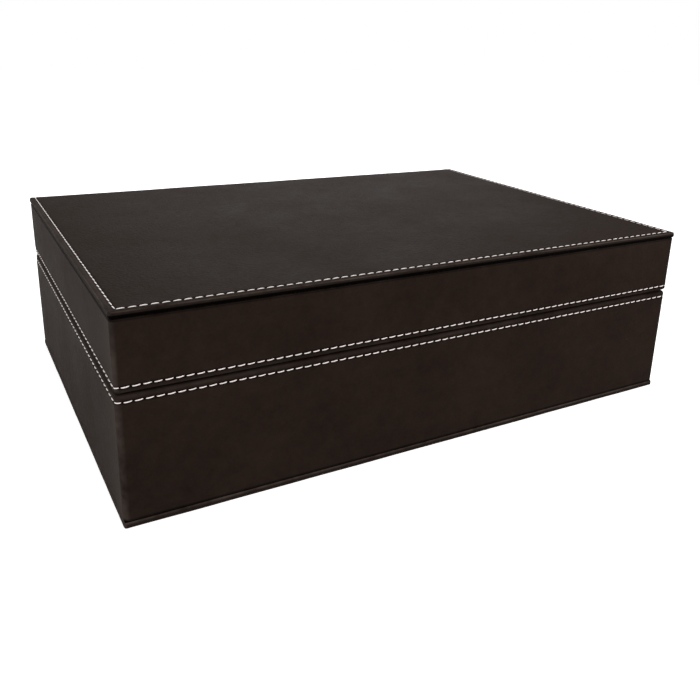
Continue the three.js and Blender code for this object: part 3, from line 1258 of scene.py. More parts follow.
class TreeBuilder:
    """Adds nodes to a tree, with values or wires given for their inputs."""

    def __init__(self, tree: bpy.types.NodeTree) -> None:
        """Starts on a tree."""
        self.tree = tree

    def node(self, kind: str, inputs: dict | None = None, **settings: object) -> bpy.types.Node:
        """Adds a node.

        Args:
            kind: Blender's name for the node.
            inputs: Values or wires, by the input's name or number.
            settings: The node's own settings.

        Returns:
            The node.
        """
        made = self.tree.nodes.new(kind)
        for key, value in settings.items():
            setattr(made, key, value)
        for key, value in (inputs or {}).items():
            self.feed(made.inputs[key], value)
        return made

    def feed(self, socket: bpy.types.NodeSocket, value: object) -> None:
        """Links a socket, or sets its value.

        Args:
            socket: The input.
            value: A wire, or the value.
        """
        if isinstance(value, Wire):
            self.tree.links.new(value.socket, socket)
        else:
            socket.default_value = value

    def wire(
        self, kind: str, inputs: dict | None = None, output: str | int = 0, **settings: object
    ) -> Wire:
        """One output of a new node."""
        return Wire(self, self.node(kind, inputs, **settings).outputs[output])

    def wires(self, kind: str, inputs: dict | None = None, **settings: object) -> dict[str, Wire]:
        """The outputs of a new node, by name."""
        made = self.node(kind, inputs, **settings)
        return {socket.name: Wire(self, socket) for socket in made.outputs}

    def math(self, operation: str, *values: "Wire | float") -> Wire:
        """A Math node's result."""
        return self.wire("ShaderNodeMath", dict(enumerate(values)), operation=operation)

    def mixed(self, share: Wire, first: Wire | Colour, second: Wire | Colour) -> Wire:
        """A colour between two others, by a share of the second."""
        one, two = (c if isinstance(c, Wire) else (*c, 1.0) for c in (first, second))
        return self.wire("ShaderNodeMix", {0: share, 6: one, 7: two}, 2, data_type="RGBA")

    def noise(
        self, place: Wire, scale: Wire | float, detail: float, roughness: float = 0.5
    ) -> dict[str, Wire]:
        """The outputs of a noise texture, by name."""
        inputs = {"Vector": place, "Scale": scale, "Detail": detail, "Roughness": roughness}
        return self.wires("ShaderNodeTexNoise", inputs)

    def carried(self, name: str, kind: str = "FLOAT_VECTOR") -> Wire:
        """A named attribute of a geometry."""
        return self.wire("GeometryNodeInputNamedAttribute", {"Name": name}, data_type=kind)

    def captured(self, geometry: Wire, values: dict[str, Wire]) -> dict[str, Wire]:
        """Holds values on a geometry.

        Args:
            geometry: The geometry.
            values: The values by name.

        Returns:
            The geometry and the held values, by name.
        """
        node = self.node("GeometryNodeCaptureAttribute", {"Geometry": geometry})
        for name, value in values.items():
            node.capture_items.new("FLOAT", name)
            self.feed(node.inputs[name], value)
        return {socket.name: Wire(self, socket) for socket in node.outputs}

    def stored(self, geometry: Wire, name: str, value: Wire, kind: str) -> Wire:
        """A geometry with a named attribute on its points."""
        inputs = {"Geometry": geometry, "Name": name, "Value": value}
        return self.wire("GeometryNodeStoreNamedAttribute", inputs, data_type=kind, domain="POINT")


# ---- Thread ----


@dataclass(frozen=True)
class SeamChain:
    """Points that a run of a seam follows, with the directions out of and across it."""

    points: Array
    outward: Array
    across: Array
    stitches: int


def chain_object(chains: Sequence[SeamChain]) -> bpy.types.Object:
    """Chains as a mesh of edges that carries their directions.

    Args:
        chains: The chains of one seam.

    Returns:
        The mesh's object.
    """
    sizes = [len(chain.points) for chain in chains]
    along = np.concatenate([np.gradient(chain.points, axis=0) for chain in chains])
    along /= np.linalg.norm(along, axis=1)[:, None]
    ends = set(np.cumsum(sizes).tolist())
    edges = [(k, k + 1) for k in range(sum(sizes) - 1) if k + 1 not in ends]
    mesh = bpy.data.meshes.new("seam_chain")
    points = np.concatenate([chain.points for chain in chains]) * MM
    mesh.from_pydata(points.tolist(), edges, [])
    for name in ("outward", "across"):
        carry(mesh, name, np.concatenate([getattr(chain, name) for chain in chains]))
    carry(mesh, "along", along)
    carry(mesh, "stitches", np.repeat([chain.stitches for chain in chains], sizes))
    return in_scene("seam_chain", mesh)


@dataclass(frozen=True)
class Sewing:
    """How the thread is sewn: its thickness, how it crests and dives, and its hand."""

    thread_radius: float = 0.25
    crest_height: float = -0.07
    dive_depth: float = 1.15
    slant: float = 0.22
    sag: float = 0.15
    gather: float = 0.19
    uneven_hand: float = 0.045
    rings_per_stitch: int = 8
    sides: int = 6
    seed: int = 11
    sharpness: ClassVar[float] = 3.0
    sag_middle: ClassVar[float] = 0.4
    squeeze: ClassVar[float] = 0.3
    slack: ClassVar[float] = 0.001

    def inputs(self) -> dict[str, float | int]:
        """The tree's named inputs.

        Returns:
            The lengths in metres and the counts, by name, such as Dive Depth.
        """
        return {
            name.replace("_", " ").title(): value * MM if isinstance(value, float) else value
            for name, value in asdict(self).items()
        }

    def tree(self) -> bpy.types.GeometryNodeTree:
        """Builds the Geometry Nodes tree that sews a chain of points.

        Returns:
            The tree. Its chain carries outward, across, along and the number of stitches.
        """
        tree = bpy.data.node_groups.new("sewn_seam", "GeometryNodeTree")
        sizes = {n: "Float" if isinstance(v, float) else "Int" for n, v in self.inputs().items()}
        for name, kind in {"Chain": "Geometry", **sizes, "Thread": "Material"}.items():
            tree.interface.new_socket(name, in_out="INPUT", socket_type=f"NodeSocket{kind}")
        tree.interface.new_socket("Seam", in_out="OUTPUT", socket_type="NodeSocketGeometry")
        build = TreeBuilder(tree)
        given = build.wires("NodeGroupInput")

        chain = build.wire("GeometryNodeMeshToCurve", {"Mesh": given["Chain"]})
        stitches = build.carried("stitches", "FLOAT")
        segments = build.math("ROUND", stitches * given["Rings Per Stitch"])
        rings = build.wire(
            "GeometryNodeResampleCurve", {"Curve": chain, "Count": segments + 1.0}, mode="COUNT"
        )
        place = build.wires("GeometryNodeSplineParameter")
        phase = build.math("DIVIDE", place["Index"], given["Rings Per Stitch"])
        share = build.math("FRACT", phase)
        from_middle = share * 2.0 - 1.0
        dive = build.math("ABSOLUTE", from_middle) ** self.sharpness
        fall = given["Crest Height"] + given["Dive Depth"]
        height = given["Crest Height"] - fall * dive
        number = build.math("FLOOR", phase + self.slack)
        draw = {2: -1.0, 3: 1.0, "ID": number, "Seed": given["Seed"]}
        loose = build.wire("FunctionNodeRandomValue", draw, 1, data_type="FLOAT")
        tangent = build.wire("GeometryNodeInputTangent")
        ways = {0: tangent, 1: build.carried("along")}
        same_way = build.wire("ShaderNodeVectorMath", ways, "Value", operation="DOT_PRODUCT")
        lean = given["Slant"] * build.math("SIGN", same_way) * from_middle
        sag = (from_middle * from_middle - self.sag_middle) * given["Sag"]
        sideways = (lean + sag + loose * given["Uneven Hand"]) * (1.0 - dive)
        forward = build.math("SINE", share * (2 * math.pi)) * (given["Gather"] * -1.0)
        across = build.carried("across").scaled(sideways).shifted(tangent.scaled(forward))
        offset = build.carried("outward").scaled(height).shifted(across)
        moved = build.wire("GeometryNodeSetPosition", {"Geometry": rings, "Offset": offset})

        strand = build.captured(moved, {"Lengthwise": place["Length"], "Dive": dive})
        ring = build.wire(
            "GeometryNodeCurvePrimitiveCircle",
            {"Resolution": given["Sides"], "Radius": given["Thread Radius"]},
            mode="RADIUS",
        )
        factor = build.wires("GeometryNodeSplineParameter")["Factor"]
        ring = build.captured(ring, {"Round": factor})
        tube = build.wire(
            "GeometryNodeCurveToMesh",
            {
                "Curve": strand["Geometry"],
                "Profile Curve": ring["Geometry"],
                "Scale": 1.0 - dive * self.squeeze,
                "Fill Caps": True,
            },
        )
        turn = ring["Round"] * (2 * math.pi)
        cosine, sine = build.math("COSINE", turn), build.math("SINE", turn)
        ply = build.wire("ShaderNodeCombineXYZ", {0: cosine, 1: sine, 2: strand["Lengthwise"]})
        marked = build.stored(tube, "ply", ply, "FLOAT_VECTOR")
        # sunk carries how far the thread dives, which its finish turns into painted shade.
        marked = build.stored(marked, "sunk", strand["Dive"], "FLOAT")
        smooth = build.wire("GeometryNodeSetShadeSmooth", {"Geometry": marked})
        real = build.wire("GeometryNodeRealizeInstances", {"Geometry": smooth})
        dressed = build.wire(
            "GeometryNodeSetMaterial", {"Geometry": real, "Material": given["Thread"]}
        )
        build.node("NodeGroupOutput", {"Seam": dressed})
        return tree


@dataclass
class Seamstress:
    """Sews seams: runs the tree on a chain and keeps the result as a plain mesh."""

    sewing: Sewing
    thread: bpy.types.Material

    def __post_init__(self) -> None:
        """Threads up."""
        self.tree = self.sewing.tree()

    def sew(self, name: str, chains: Sequence[SeamChain]) -> bpy.types.Object:
        """Sews one seam.

        Args:
            name: Name of the piece.
            chains: The chains that it follows.

        Returns:
            The thread as a piece of plain mesh.
        """
        chain = chain_object(chains)
        modifier = chain.modifiers.new("sewn_seam", "NODES")
        modifier.node_group = self.tree
        settings = {**self.sewing.inputs(), "Thread": self.thread}
        for item in self.tree.interface.items_tree:
            if item.name in settings:
                modifier[item.identifier] = settings[item.name]
        bpy.context.view_layer.update()
        graph = bpy.context.evaluated_depsgraph_get()
        mesh = bpy.data.meshes.new_from_object(chain.evaluated_get(graph))
        mesh.name = name
        bpy.data.objects.remove(chain)
        shape = bmesh.new()
        shape.from_mesh(mesh)
        bmesh.ops.recalc_face_normals(shape, faces=shape.faces)
        shape.to_mesh(mesh)
        shape.free()
        return in_scene(name, mesh)


# ---- Finishes ----


def fresh_tree(owner: bpy.types.Material | bpy.types.World) -> bpy.types.NodeTree:
    """Empties a node tree.

    Args:
        owner: The material or the world.

    Returns:
        Its tree.
    """
    owner.use_nodes = True
    owner.node_tree.nodes.clear()
    return owner.node_tree


class SharedEffects:
    """Node groups that more than one finish uses, each built once."""

    coarse_share = 0.6
    wander_scale = 0.6
    wander = 0.0004
    pore_height = 0.35

    def __init__(self) -> None:
        """Builds the groups."""
        self.groups = dict(mottle=self._mottle(), pebble=self._pebble(), dust=self._dust())

    @staticmethod
    def _start(name: str, result: str, sizes: dict[str, float]) -> tuple[TreeBuilder, dict]:
        """Starts a group that reads a place and puts out one value.

        Args:
            name: Its name.
            result: Name of its output.
            sizes: Its other inputs and their first values.

        Returns:
            A builder on it, and its inputs by name.
        """
        group = bpy.data.node_groups.new(name, "ShaderNodeTree")
        face = group.interface
        face.new_socket("Place", in_out="INPUT", socket_type="NodeSocketVector")
        for label, value in sizes.items():
            socket = face.new_socket(label, in_out="INPUT", socket_type="NodeSocketFloat")
            socket.default_value = value
        face.new_socket(result, in_out="OUTPUT", socket_type="NodeSocketFloat")
        build = TreeBuilder(group)
        return build, build.wires("NodeGroupInput")

    def _mottle(self) -> bpy.types.ShaderNodeTree:
        """Cloudy variation over a surface, coarse and fine, about a middle of one half.

        Returns:
            The group.
        """
        sizes = {"Coarse Scale": 30.0, "Fine Scale": 160.0}
        build, given = self._start("mottle", "Cloud", sizes)
        coarse = build.noise(given["Place"], given["Coarse Scale"], 3.0)["Fac"]
        fine = build.noise(given["Place"], given["Fine Scale"], 2.0, 0.6)["Fac"]
        cloud = coarse * self.coarse_share + fine * (1 - self.coarse_share)
        build.node("NodeGroupOutput", {"Cloud": cloud})
        return build.tree

    def _pebble(self) -> bpy.types.ShaderNodeTree:
        """The pressed pebble of leatherette: rounded cells with fine pores.

        Returns:
            The group.
        """
        sizes = {"Cell Scale": 850.0, "Pore Scale": 4200.0}
        build, given = self._start("pebble", "Height", sizes)
        place = given["Place"]
        scale = given["Cell Scale"] * self.wander_scale
        wander = build.noise(place, scale, 1.0)["Color"].scaled(self.wander)
        cells = build.wires(
            "ShaderNodeTexVoronoi",
            {"Vector": place.shifted(wander), "Scale": given["Cell Scale"]},
            feature="SMOOTH_F1",
        )
        pores = build.noise(place, given["Pore Scale"], 1.0)["Fac"]
        height = (1.0 - cells["Distance"]) + pores * self.pore_height
        build.node("NodeGroupOutput", {"Height": height})
        return build.tree

    def _dust(self) -> bpy.types.ShaderNodeTree:
        """A few tiny specks of dust and lint.

        Returns:
            The group.
        """
        sizes = {"Scale": 95.0, "Size": 0.016, "Rarity": 0.8}
        build, given = self._start("dust", "Specks", sizes)
        cells = build.wires(
            "ShaderNodeTexVoronoi", {"Vector": given["Place"], "Scale": given["Scale"]}
        )
        here = build.math("LESS_THAN", cells["Distance"], given["Size"])
        draw = build.wire("ShaderNodeSeparateColor", {0: cells["Color"]})
        rare = build.math("GREATER_THAN", draw, given["Rarity"])
        build.node("NodeGroupOutput", {"Specks": here * rare})
        return build.tree


class FinishTree(TreeBuilder):
    """The tree of one finish, with the shared effects at hand."""

    def __init__(self, name: str, effects: SharedEffects) -> None:
        """Starts the finish's material.

        Args:
            name: Its name.
            effects: The shared effects.
        """
        self.material = bpy.data.materials.new(name)
        super().__init__(fresh_tree(self.material))
        self.effects = effects
        self.shader = self.node("ShaderNodeBsdfPrincipled")
        surface = Wire(self, self.shader.outputs[0])
        self.node("ShaderNodeOutputMaterial", {"Surface": surface})
        self.place = self.wires("ShaderNodeTexCoord")["Object"]

    def effect(self, name: str, sizes: dict[str, float] | None = None) -> Wire:
        """A shared effect, placed with its own values."""
        inputs = {"Place": self.place, **(sizes or {})}
        return self.wire("ShaderNodeGroup", inputs, node_tree=self.effects.groups[name])

    def cloud(self, scales: Pair) -> Wire:
        """Cloudy variation of two scales, coarse and fine."""
        return self.effect("mottle", {"Coarse Scale": scales[0], "Fine Scale": scales[1]})

    def dusty(self, ground: Wire, share: float, dust: Colour) -> Wire:
        """A colour with specks of dust on it."""
        return self.mixed(self.effect("dust") * share, ground, dust)

    def attribute(self, name: str, output: str = "Fac") -> Wire:
        """A value that the mesh carries."""
        return self.wires("ShaderNodeAttribute", attribute_name=name)[output]

    def finish(
        self,
        colour: Wire,
        roughness: Wire,
        levels: dict[str, float | tuple],
        relief: Wire | None = None,
        depth: float = 0.0,
        strength: float = 1.0,
    ) -> bpy.types.Material:
        """Feeds the shader.

        Args:
            colour: The colour over the surface.
            roughness: The roughness over the surface.
            levels: What is the same all over, by the names of the shader's sockets.
            relief: The height over the surface, or None where it is smooth.
            depth: The relief's depth in millimetres.
            strength: The relief's strength.

        Returns:
            The material.
        """
        self.feed(self.shader.inputs["Base Color"], colour)
        self.feed(self.shader.inputs["Roughness"], roughness)
        for name, level in levels.items():
            self.shader.inputs[name].default_value = level
        if relief is not None:
            inputs = {"Strength": strength, "Distance": depth * MM, "Height": relief}
            self.feed(self.shader.inputs["Normal"], self.wire("ShaderNodeBump", inputs))
        return self.material


@dataclass(frozen=True)
class Leatherette:
    """Espresso leatherette: pebbled, faintly mottled, with wear and painted highlights on its
    edges and sides, and painted shade in its seams and gaps.
    """

    name: str
    dark: Colour = (0.0110, 0.0066, 0.0049)
    light: Colour = (0.0235, 0.0154, 0.0119)
    # A paler brown, for wear and for painted highlight.
    rub: Colour = (0.105, 0.086, 0.074)
    # The colour of the painted shade in seam valleys, creases, under the slabs' edges, at the
    # walls' feet and in the gap between the rims.
    crease: Colour = (0.0007, 0.0005, 0.0004)
    dust: Colour = (0.16, 0.145, 0.13)
    cloud: Pair = (26.0, 210.0)
    mottle: float = 1.5
    roughness: Pair = (0.38, 0.78)
    specular: float = 0.025
    refraction: float = 1.23
    rub_spread: Pair = (-0.8, 1.8)
    rub_share: float = 0.65
    rub_polish: float = 0.06
    dust_share: float = 0.55
    grain_depth: float = 0.12
    grain_middle: float = 0.8
    grain_tone: float = 0.3

    def material(self, effects: SharedEffects) -> bpy.types.Material:
        """Builds the material from the shared effects.

        Args:
            effects: The shared effects.

        Returns:
            The material.
        """
        build = FinishTree(self.name, effects)
        cloud = build.cloud(self.cloud)
        pebble = build.effect("pebble")
        worn_and_lit = (build.attribute("rubbed") * cloud.spread(self.rub_spread)).clamped()
        grain = (pebble - self.grain_middle) * self.grain_tone + 0.5
        tone = ((cloud - 0.5) * self.mottle + grain).clamped()
        ground = build.mixed(tone, self.dark, self.light)
        # Wear and painted highlight: the colour lightens towards a paler brown where the mesh
        # carries them.
        with_wear_and_highlight = build.mixed(worn_and_lit * self.rub_share, ground, self.rub)
        # Painted shade: the colour falls towards near black where the mesh carries painted shade.
        with_painted_shade = build.mixed(build.attribute("hollow"), with_wear_and_highlight, self.crease)
        rough = cloud.spread(self.roughness) - worn_and_lit * self.rub_polish
        levels = {"Specular IOR Level": self.specular, "IOR": self.refraction}
        colour = build.dusty(with_painted_shade, self.dust_share, self.dust)
        return build.finish(colour, rough, levels, pebble, self.grain_depth)


@dataclass(frozen=True)
class TwistedThread:
    """Off-white thread of twisted plies, with painted shade between them and a little random
    soiling, and painted shade in its holes.
    """

    name: str = "offwhite_thread"
    light: Colour = (0.98, 0.885, 0.85)
    shade: Colour = (0.82, 0.735, 0.69)
    hole: Colour = (0.03, 0.022, 0.018)
    plies: int = 3
    twist: float = 1.5
    hole_from: float = 0.22
    hole_to: float = 0.5
    cloud: Pair = (40.0, 900.0)
    soil: Pair = (0.75, 1.25)
    strand_round: float = 0.6
    roughness: Pair = (0.55, 0.75)
    relief: float = 0.06

    def material(self, effects: SharedEffects) -> bpy.types.Material:
        """Builds the material from the shared effects.

        Args:
            effects: The shared effects.

        Returns:
            The material.
        """
        build = FinishTree(self.name, effects)
        parts = build.wires("ShaderNodeSeparateXYZ", {0: build.attribute("ply", "Vector")})
        turn = build.math("ARCTAN2", parts["Y"], parts["X"])
        wound = turn * (self.plies / 2) + parts["Z"] * (math.pi / (self.twist * MM))
        strand = build.math("ABSOLUTE", build.math("SINE", wound))
        cloud = build.cloud(self.cloud)
        # Painted shade between the plies, where the strand's profile is low, mixed with random
        # soiling.
        tone = (strand**self.strand_round * cloud.spread(self.soil)).clamped()
        # Painted shade where the thread dives into its needle holes.
        sunk = {0: build.attribute("sunk"), 1: self.hole_from, 2: self.hole_to}
        dark = build.wire("ShaderNodeMapRange", sunk, interpolation_type="SMOOTHSTEP")
        colour = build.mixed(dark, build.mixed(tone, self.shade, self.light), self.hole)
        levels = {"Specular IOR Level": 0.3, "Sheen Weight": 0.15}
        rough = cloud.spread(self.roughness)
        return build.finish(colour, rough, levels, strand, self.relief)


@dataclass(frozen=True)
class Velvet:
    """Black-brown short-pile velvet, brushed unevenly, with the sheen of its nap painted as
    lighter patches.
    """

    name: str = "velvet_lining"
    deep: Colour = (0.006, 0.0045, 0.004)
    brushed: Colour = (0.020, 0.0165, 0.0145)
    dust: Colour = (0.2, 0.19, 0.18)
    sheen: Colour = (0.62, 0.53, 0.47)
    cloud: Pair = (22.0, 70.0)
    nap: Pair = (-1.0, 2.0)
    pile_scale: float = 2600.0
    pile: Pair = (0.4, 1.2)
    roughness: Pair = (0.82, 0.97)
    dust_share: float = 0.6
    nap_height: float = 0.6
    relief: float = 0.16

    def material(self, effects: SharedEffects) -> bpy.types.Material:
        """Builds the material from the shared effects.

        Args:
            effects: The shared effects.

        Returns:
            The material.
        """
        build = FinishTree(self.name, effects)
        nap = build.cloud(self.cloud)
        pile = build.noise(build.place, self.pile_scale, 1.0)["Fac"]
        # Painted sheen: the colour lightens where the nap and pile are brushed to catch light.
        tone = (nap.spread(self.nap).clamped() * pile.spread(self.pile)).clamped()
        ground = build.mixed(tone, self.deep, self.brushed)
        levels = {
            "Specular IOR Level": 0.1,
            "Sheen Weight": 0.22,
            "Sheen Roughness": 0.35,
            "Sheen Tint": (*self.sheen, 1.0),
        }
        colour = build.dusty(ground, self.dust_share, self.dust)
        height = pile + nap * self.nap_height
        return build.finish(
            colour, nap.spread(self.roughness), levels, height, self.relief, strength=0.9
        )


@dataclass(frozen=True)
class PressedBoard:
    """Board of pressed fibres: a ground colour with paler and darker fibres in it."""

    name: str
    ground: Colour
    fibre: Colour
    fibre_scale: float
    layers: float
    lie: float = 1.6
    cloud: Pair = (35.0, 400.0)
    contrast: float = 3.0
    roughness: Pair = (0.75, 0.95)
    relief: float = 0.05

    def material(self, effects: SharedEffects) -> bpy.types.Material:
        """Builds the material from the shared effects.

        Args:
            effects: The shared effects.

        Returns:
            The material.
        """
        build = FinishTree(self.name, effects)
        stretched = build.wire(
            "ShaderNodeMapping", {"Vector": build.place, "Scale": (1.0, self.lie, self.layers)}
        )
        fibres = build.noise(stretched, self.fibre_scale, 5.0, 0.65)["Fac"]
        tone = ((fibres - 0.5) * self.contrast + build.cloud(self.cloud)).clamped()
        colour = build.mixed(tone, self.ground, self.fibre)
        rough = fibres.spread(self.roughness)
        levels = {"Specular IOR Level": 0.25}
        return build.finish(colour, rough, levels, fibres, self.relief, strength=0.7)


@dataclass(frozen=True)
class Nickel:
    """Nickel plate, faintly brushed and spotted."""

    name: str = "nickel_plate"
    bright: Colour = (0.60, 0.60, 0.61)
    dull: Colour = (0.42, 0.41, 0.40)
    cloud: Pair = (300.0, 2400.0)
    roughness: Pair = (0.2, 0.45)

    def material(self, effects: SharedEffects) -> bpy.types.Material:
        """Builds the material from the shared effects.

        Args:
            effects: The shared effects.

        Returns:
            The material.
        """
        build = FinishTree(self.name, effects)
        cloud = build.cloud(self.cloud)
        colour = build.mixed(cloud, self.dull, self.bright)
        return build.finish(colour, cloud.spread(self.roughness), {"Metallic": 1.0})


class Finishes:
    """Every finish of the box, made once."""

    def __init__(self) -> None:
        """Makes the materials."""
        effects = SharedEffects()
        self.sheet = Leatherette("espresso_leatherette_sheet", grain_tone=0.7).material(effects)
        self.wall = Leatherette("espresso_leatherette_wall").material(effects)
        self.thread = TwistedThread().material(effects)
        self.velvet = Velvet().material(effects)
        self.greyboard = PressedBoard(
            "grey_bookboard", (0.24, 0.21, 0.18), (0.45, 0.41, 0.35), 420.0, 6.0
        ).material(effects)
        self.fibreboard = PressedBoard(
            "raw_fibreboard", (0.22, 0.13, 0.065), (0.42, 0.28, 0.16), 650.0, 1.0
        ).material(effects)
        self.nickel = Nickel().material(effects)


# ---- Sub-assemblies ----


@dataclass
class WrappedSlab:
    """What both slabs share: an outline, a section and the leatherette round their edges."""

    sizes: BoxSizes
    finishes: Finishes
    wall_inset: float
    corner_steps: int = 8
    inner_steps: int = 4
    turn_in_steps: int = 3
    shade_rise: float = 0.4

    def wrapped_edge(
        self, x: Lines, y: Lines, edge_steps: int, shade: float, lid: bool
    ) -> WrappedEdge:
        """The leatherette round the slab's edge, from its flat face to the end of its turn-in.

        Args:
            x: Lines across the flat face in X.
            y: Lines across it in Y.
            edge_steps: Steps round the outer edge.
            shade: How far past the outer round the painted shadow under the edge starts.
            lid: Whether it is the lid's, open along the back and turned over.

        Returns:
            The edge.
        """
        sizes = self.sizes
        outer, inner = sizes.slab_outer_round, sizes.slab_inner_round
        thick = sizes.slab_thickness
        outline = Outline(
            half_width=sizes.width / 2,
            front_y=-sizes.depth / 2,
            back_y=sizes.depth / 2,
            front_radius=sizes.slab_corner,
            back_radius=sizes.slab_corner,
            least_radius=0.0,
            radius_loss=sizes.slab_corner / outer,
            reference=outer,
            closed=not lid,
        )
        section = Section(
            (
                Round((outer, outer), outer, -QUARTER, -2 * QUARTER),
                Straight((0.0, outer), (0.0, thick - inner)),
                Round((inner, thick - inner), inner, 2 * QUARTER, QUARTER),
                Straight((inner, thick), (self.wall_inset + sizes.wall_thickness, thick)),
            )
        )
        # Painted shadow under the slab's edge, down to the end of its turn-in.
        shadow = section.start(1) + shade
        dark = shadow + self.shade_rise
        return WrappedEdge(
            outline=outline,
            section=section,
            along=round_slab(outline, x, y, self.corner_steps),
            steps=(edge_steps, 1, self.inner_steps, self.turn_in_steps),
            thickness=sizes.leatherette,
            thin_from=section.start(3),
            thin=sizes.skived,
            split_after=section.start(2) if lid else None,
            joined_start=True,
            turned_over_at=sizes.height if lid else None,
            hollows=[(shadow, 0.0), (dark, 1.0), (section.length, 1.0)],
        )


@dataclass
class TopAndBackCover(WrappedSlab):
    """One sheet: over the top, wrapped round its edges, and down the back to the bottom slab."""

    dent: SeamDent = field(default_factory=SeamDent)
    seed: int = 3
    fold_margin: float = 1.5

    def build(self) -> TopAndBack:
        """Makes the sheet, which spans both bodies and rides on neither.

        Returns:
            The layout of its seams, for the thread.
        """
        sizes = self.sizes
        flat = TopAndBack(sizes, self.dent)
        y = [flat.seam_y + c for c in flat.across if c <= flat.bend_start + SAME_LINE]
        sheet = Sheet(self.seed)
        sheet.add(flat)
        sheet.add(self.wrapped_edge(flat.along, y, flat.edge_steps, flat.edge_shade[0], True))
        piece = sheet.piece("top_and_back_leatherette")
        nodes = ("top_cover", "base_back_sheet", "back_sheet_fold")
        finish_piece(piece, self.finishes.sheet, Slot.SHEET, None, *nodes)
        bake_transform(piece)
        return flat


@dataclass
class BottomCover(WrappedSlab):
    """The leatherette of the bottom slab: flat below, wrapped up round its edges."""

    cell: float = 8.9
    brace: float = 0.25
    edge_steps: int = 6
    shade: float = 1.9
    seed: int = 5

    def lines(self, half: float, close: float) -> Lines:
        """Lines across the flat face, with one at a share of its half close to each border."""
        cells = steps_from(-half, half, whole_steps(2 * half, self.cell))
        return sorted([-close * half, close * half, *cells])

    def build(self) -> None:
        """Makes the cover."""
        sizes = self.sizes
        halves = [size / 2 - sizes.slab_outer_round for size in (sizes.width, sizes.depth)]
        x, y = (self.lines(half, 1 - self.brace / halves[0]) for half in halves)
        sheet = Sheet(self.seed)
        sheet.add(SlabFace(sizes.leatherette, x, y))
        sheet.add(self.wrapped_edge(x, y, self.edge_steps, self.shade, False))
        piece = sheet.piece("bottom_leatherette")
        finish_piece(piece, self.finishes.sheet, Slot.SHEET, Body.BASE, "bottom_cover")


@dataclass
class WallSleeve:
    """The leatherette of one tray's walls: tucked at the foot, rolled over the rim, sewn."""

    sizes: BoxSizes
    finishes: Finishes
    body: Body
    rim: float
    wall_inset: float
    front_corner: float
    turned_over_at: float | None
    seed: int
    dent: SeamDent = field(default_factory=SeamDent)
    roll_steps: int = 6
    tuck_steps: int = 3
    flat_steps: int = 3
    down_steps: int = 2
    rise: float = 6.0
    below_seam: float = 2.2
    corner_points: int = 16
    # Painted shade at the foot's tuck and in the rim gap, as places past each and shares.
    foot_shadow: tuple[Pair, ...] = ((0.0, 0.6), (0.5, 0.0))
    rim_shadow: tuple[Pair, ...] = ((-0.7, 0.55), (0.3, 0.4), (0.9, 0.0))
    lit_share: float = 0.3

    def __post_init__(self) -> None:
        """Lays out its outline, section and seam."""
        sizes = self.sizes
        self.outline = Outline(
            half_width=sizes.width / 2 - self.wall_inset,
            front_y=-sizes.depth / 2 + self.wall_inset,
            back_y=sizes.depth / 2 - sizes.skin,
            front_radius=self.front_corner,
            back_radius=sizes.wall_back_corner,
            least_radius=sizes.wall_inner_corner,
        )
        self.section = section = self.rolled_section()
        self.seam_height = self.rim - sizes.rim_seam_inset
        middle = section.start(1) + self.seam_height - (sizes.wall_foot + sizes.leatherette)
        roll_step = section.stretches[2].length / self.roll_steps
        strip = (middle - self.below_seam, section.start(2) + 2 * roll_step)
        self.seam = RimSeam(sizes, self.outline, middle, strip, self.dent)

    def rolled_section(self) -> Section:
        """The sleeve's path from the foot, over the rim and down behind the boards.

        Returns:
            The section.
        """
        sizes, rim = self.sizes, self.rim
        foot, tuck = sizes.wall_foot, sizes.leatherette
        roll, thick = sizes.rim_round, sizes.wall_thickness
        return Section(
            (
                Round((tuck, foot + tuck), tuck, -QUARTER, -2 * QUARTER),
                Straight((0.0, foot + tuck), (0.0, rim - roll)),
                Round((roll, rim - roll), roll, 2 * QUARTER, QUARTER),
                Straight((roll, rim), (thick - roll, rim)),
                Round((thick - roll, rim - roll), roll, QUARTER, 0.0),
                Straight((thick, rim - roll), (thick, rim - sizes.rim_turn_in)),
            )
        )

    def shadows(self) -> list[Pair]:
        """How much shade is painted into the section's colour: at the foot's tuck, and in the gap
        between the rims.

        Returns:
            Places along the section, and a share for each.
        """
        foot, roll, top = (self.section.start(number) for number in (1, 2, 3))
        at_foot = [(foot + place, share) for place, share in self.foot_shadow]
        at_rim = [(top + place, share) for place, share in self.rim_shadow]
        lit = roll + self.lit_share * (top - roll)
        return [(0.0, 1.0), *at_foot, (lit, 0.0), *at_rim]

    def build(self) -> None:
        """Makes the sleeve."""
        rise = whole_steps(self.section.stretches[1].length, self.rise)
        over = (self.roll_steps, self.flat_steps, self.roll_steps)
        sheet = Sheet(self.seed)
        sheet.add(
            SewnSleeve(
                outline=self.outline,
                section=self.section,
                along=self.seam.lines_along(),
                steps=(self.tuck_steps, rise, *over, self.down_steps),
                seam=self.seam,
                thickness=self.sizes.leatherette,
                turned_over_at=self.turned_over_at,
                hollows=self.shadows(),
            )
        )
        name = self.body.value
        piece = sheet.piece(f"{name}_wall_leatherette")
        finish_piece(piece, self.finishes.wall, Slot.WALL, self.body, f"{name}_wall_cover")

    def thread_chains(self) -> list[SeamChain]:
        """The chains of the seam's thread.

        Returns:
            One for each run.
        """
        height = self.seam_height
        if self.turned_over_at is not None:
            height = self.turned_over_at - height
        chains = []
        for run in self.seam.runs:
            level_steps = run.count * LEVEL_STEPS_PER_STITCH
            steps = self.corner_points if run.corner else level_steps
            places = np.linspace(run.start, run.end, steps + 1)
            zero = np.zeros_like(places)
            x, y, out_x, out_y, _ = self.outline.at(places, zero)
            points = np.stack([x, y, zero + height], axis=1)
            outward = np.stack([out_x, out_y, zero], axis=1)
            across = np.stack([zero, zero, zero + 1], axis=1)
            chains.append(SeamChain(points, outward, across, run.count))
        return chains


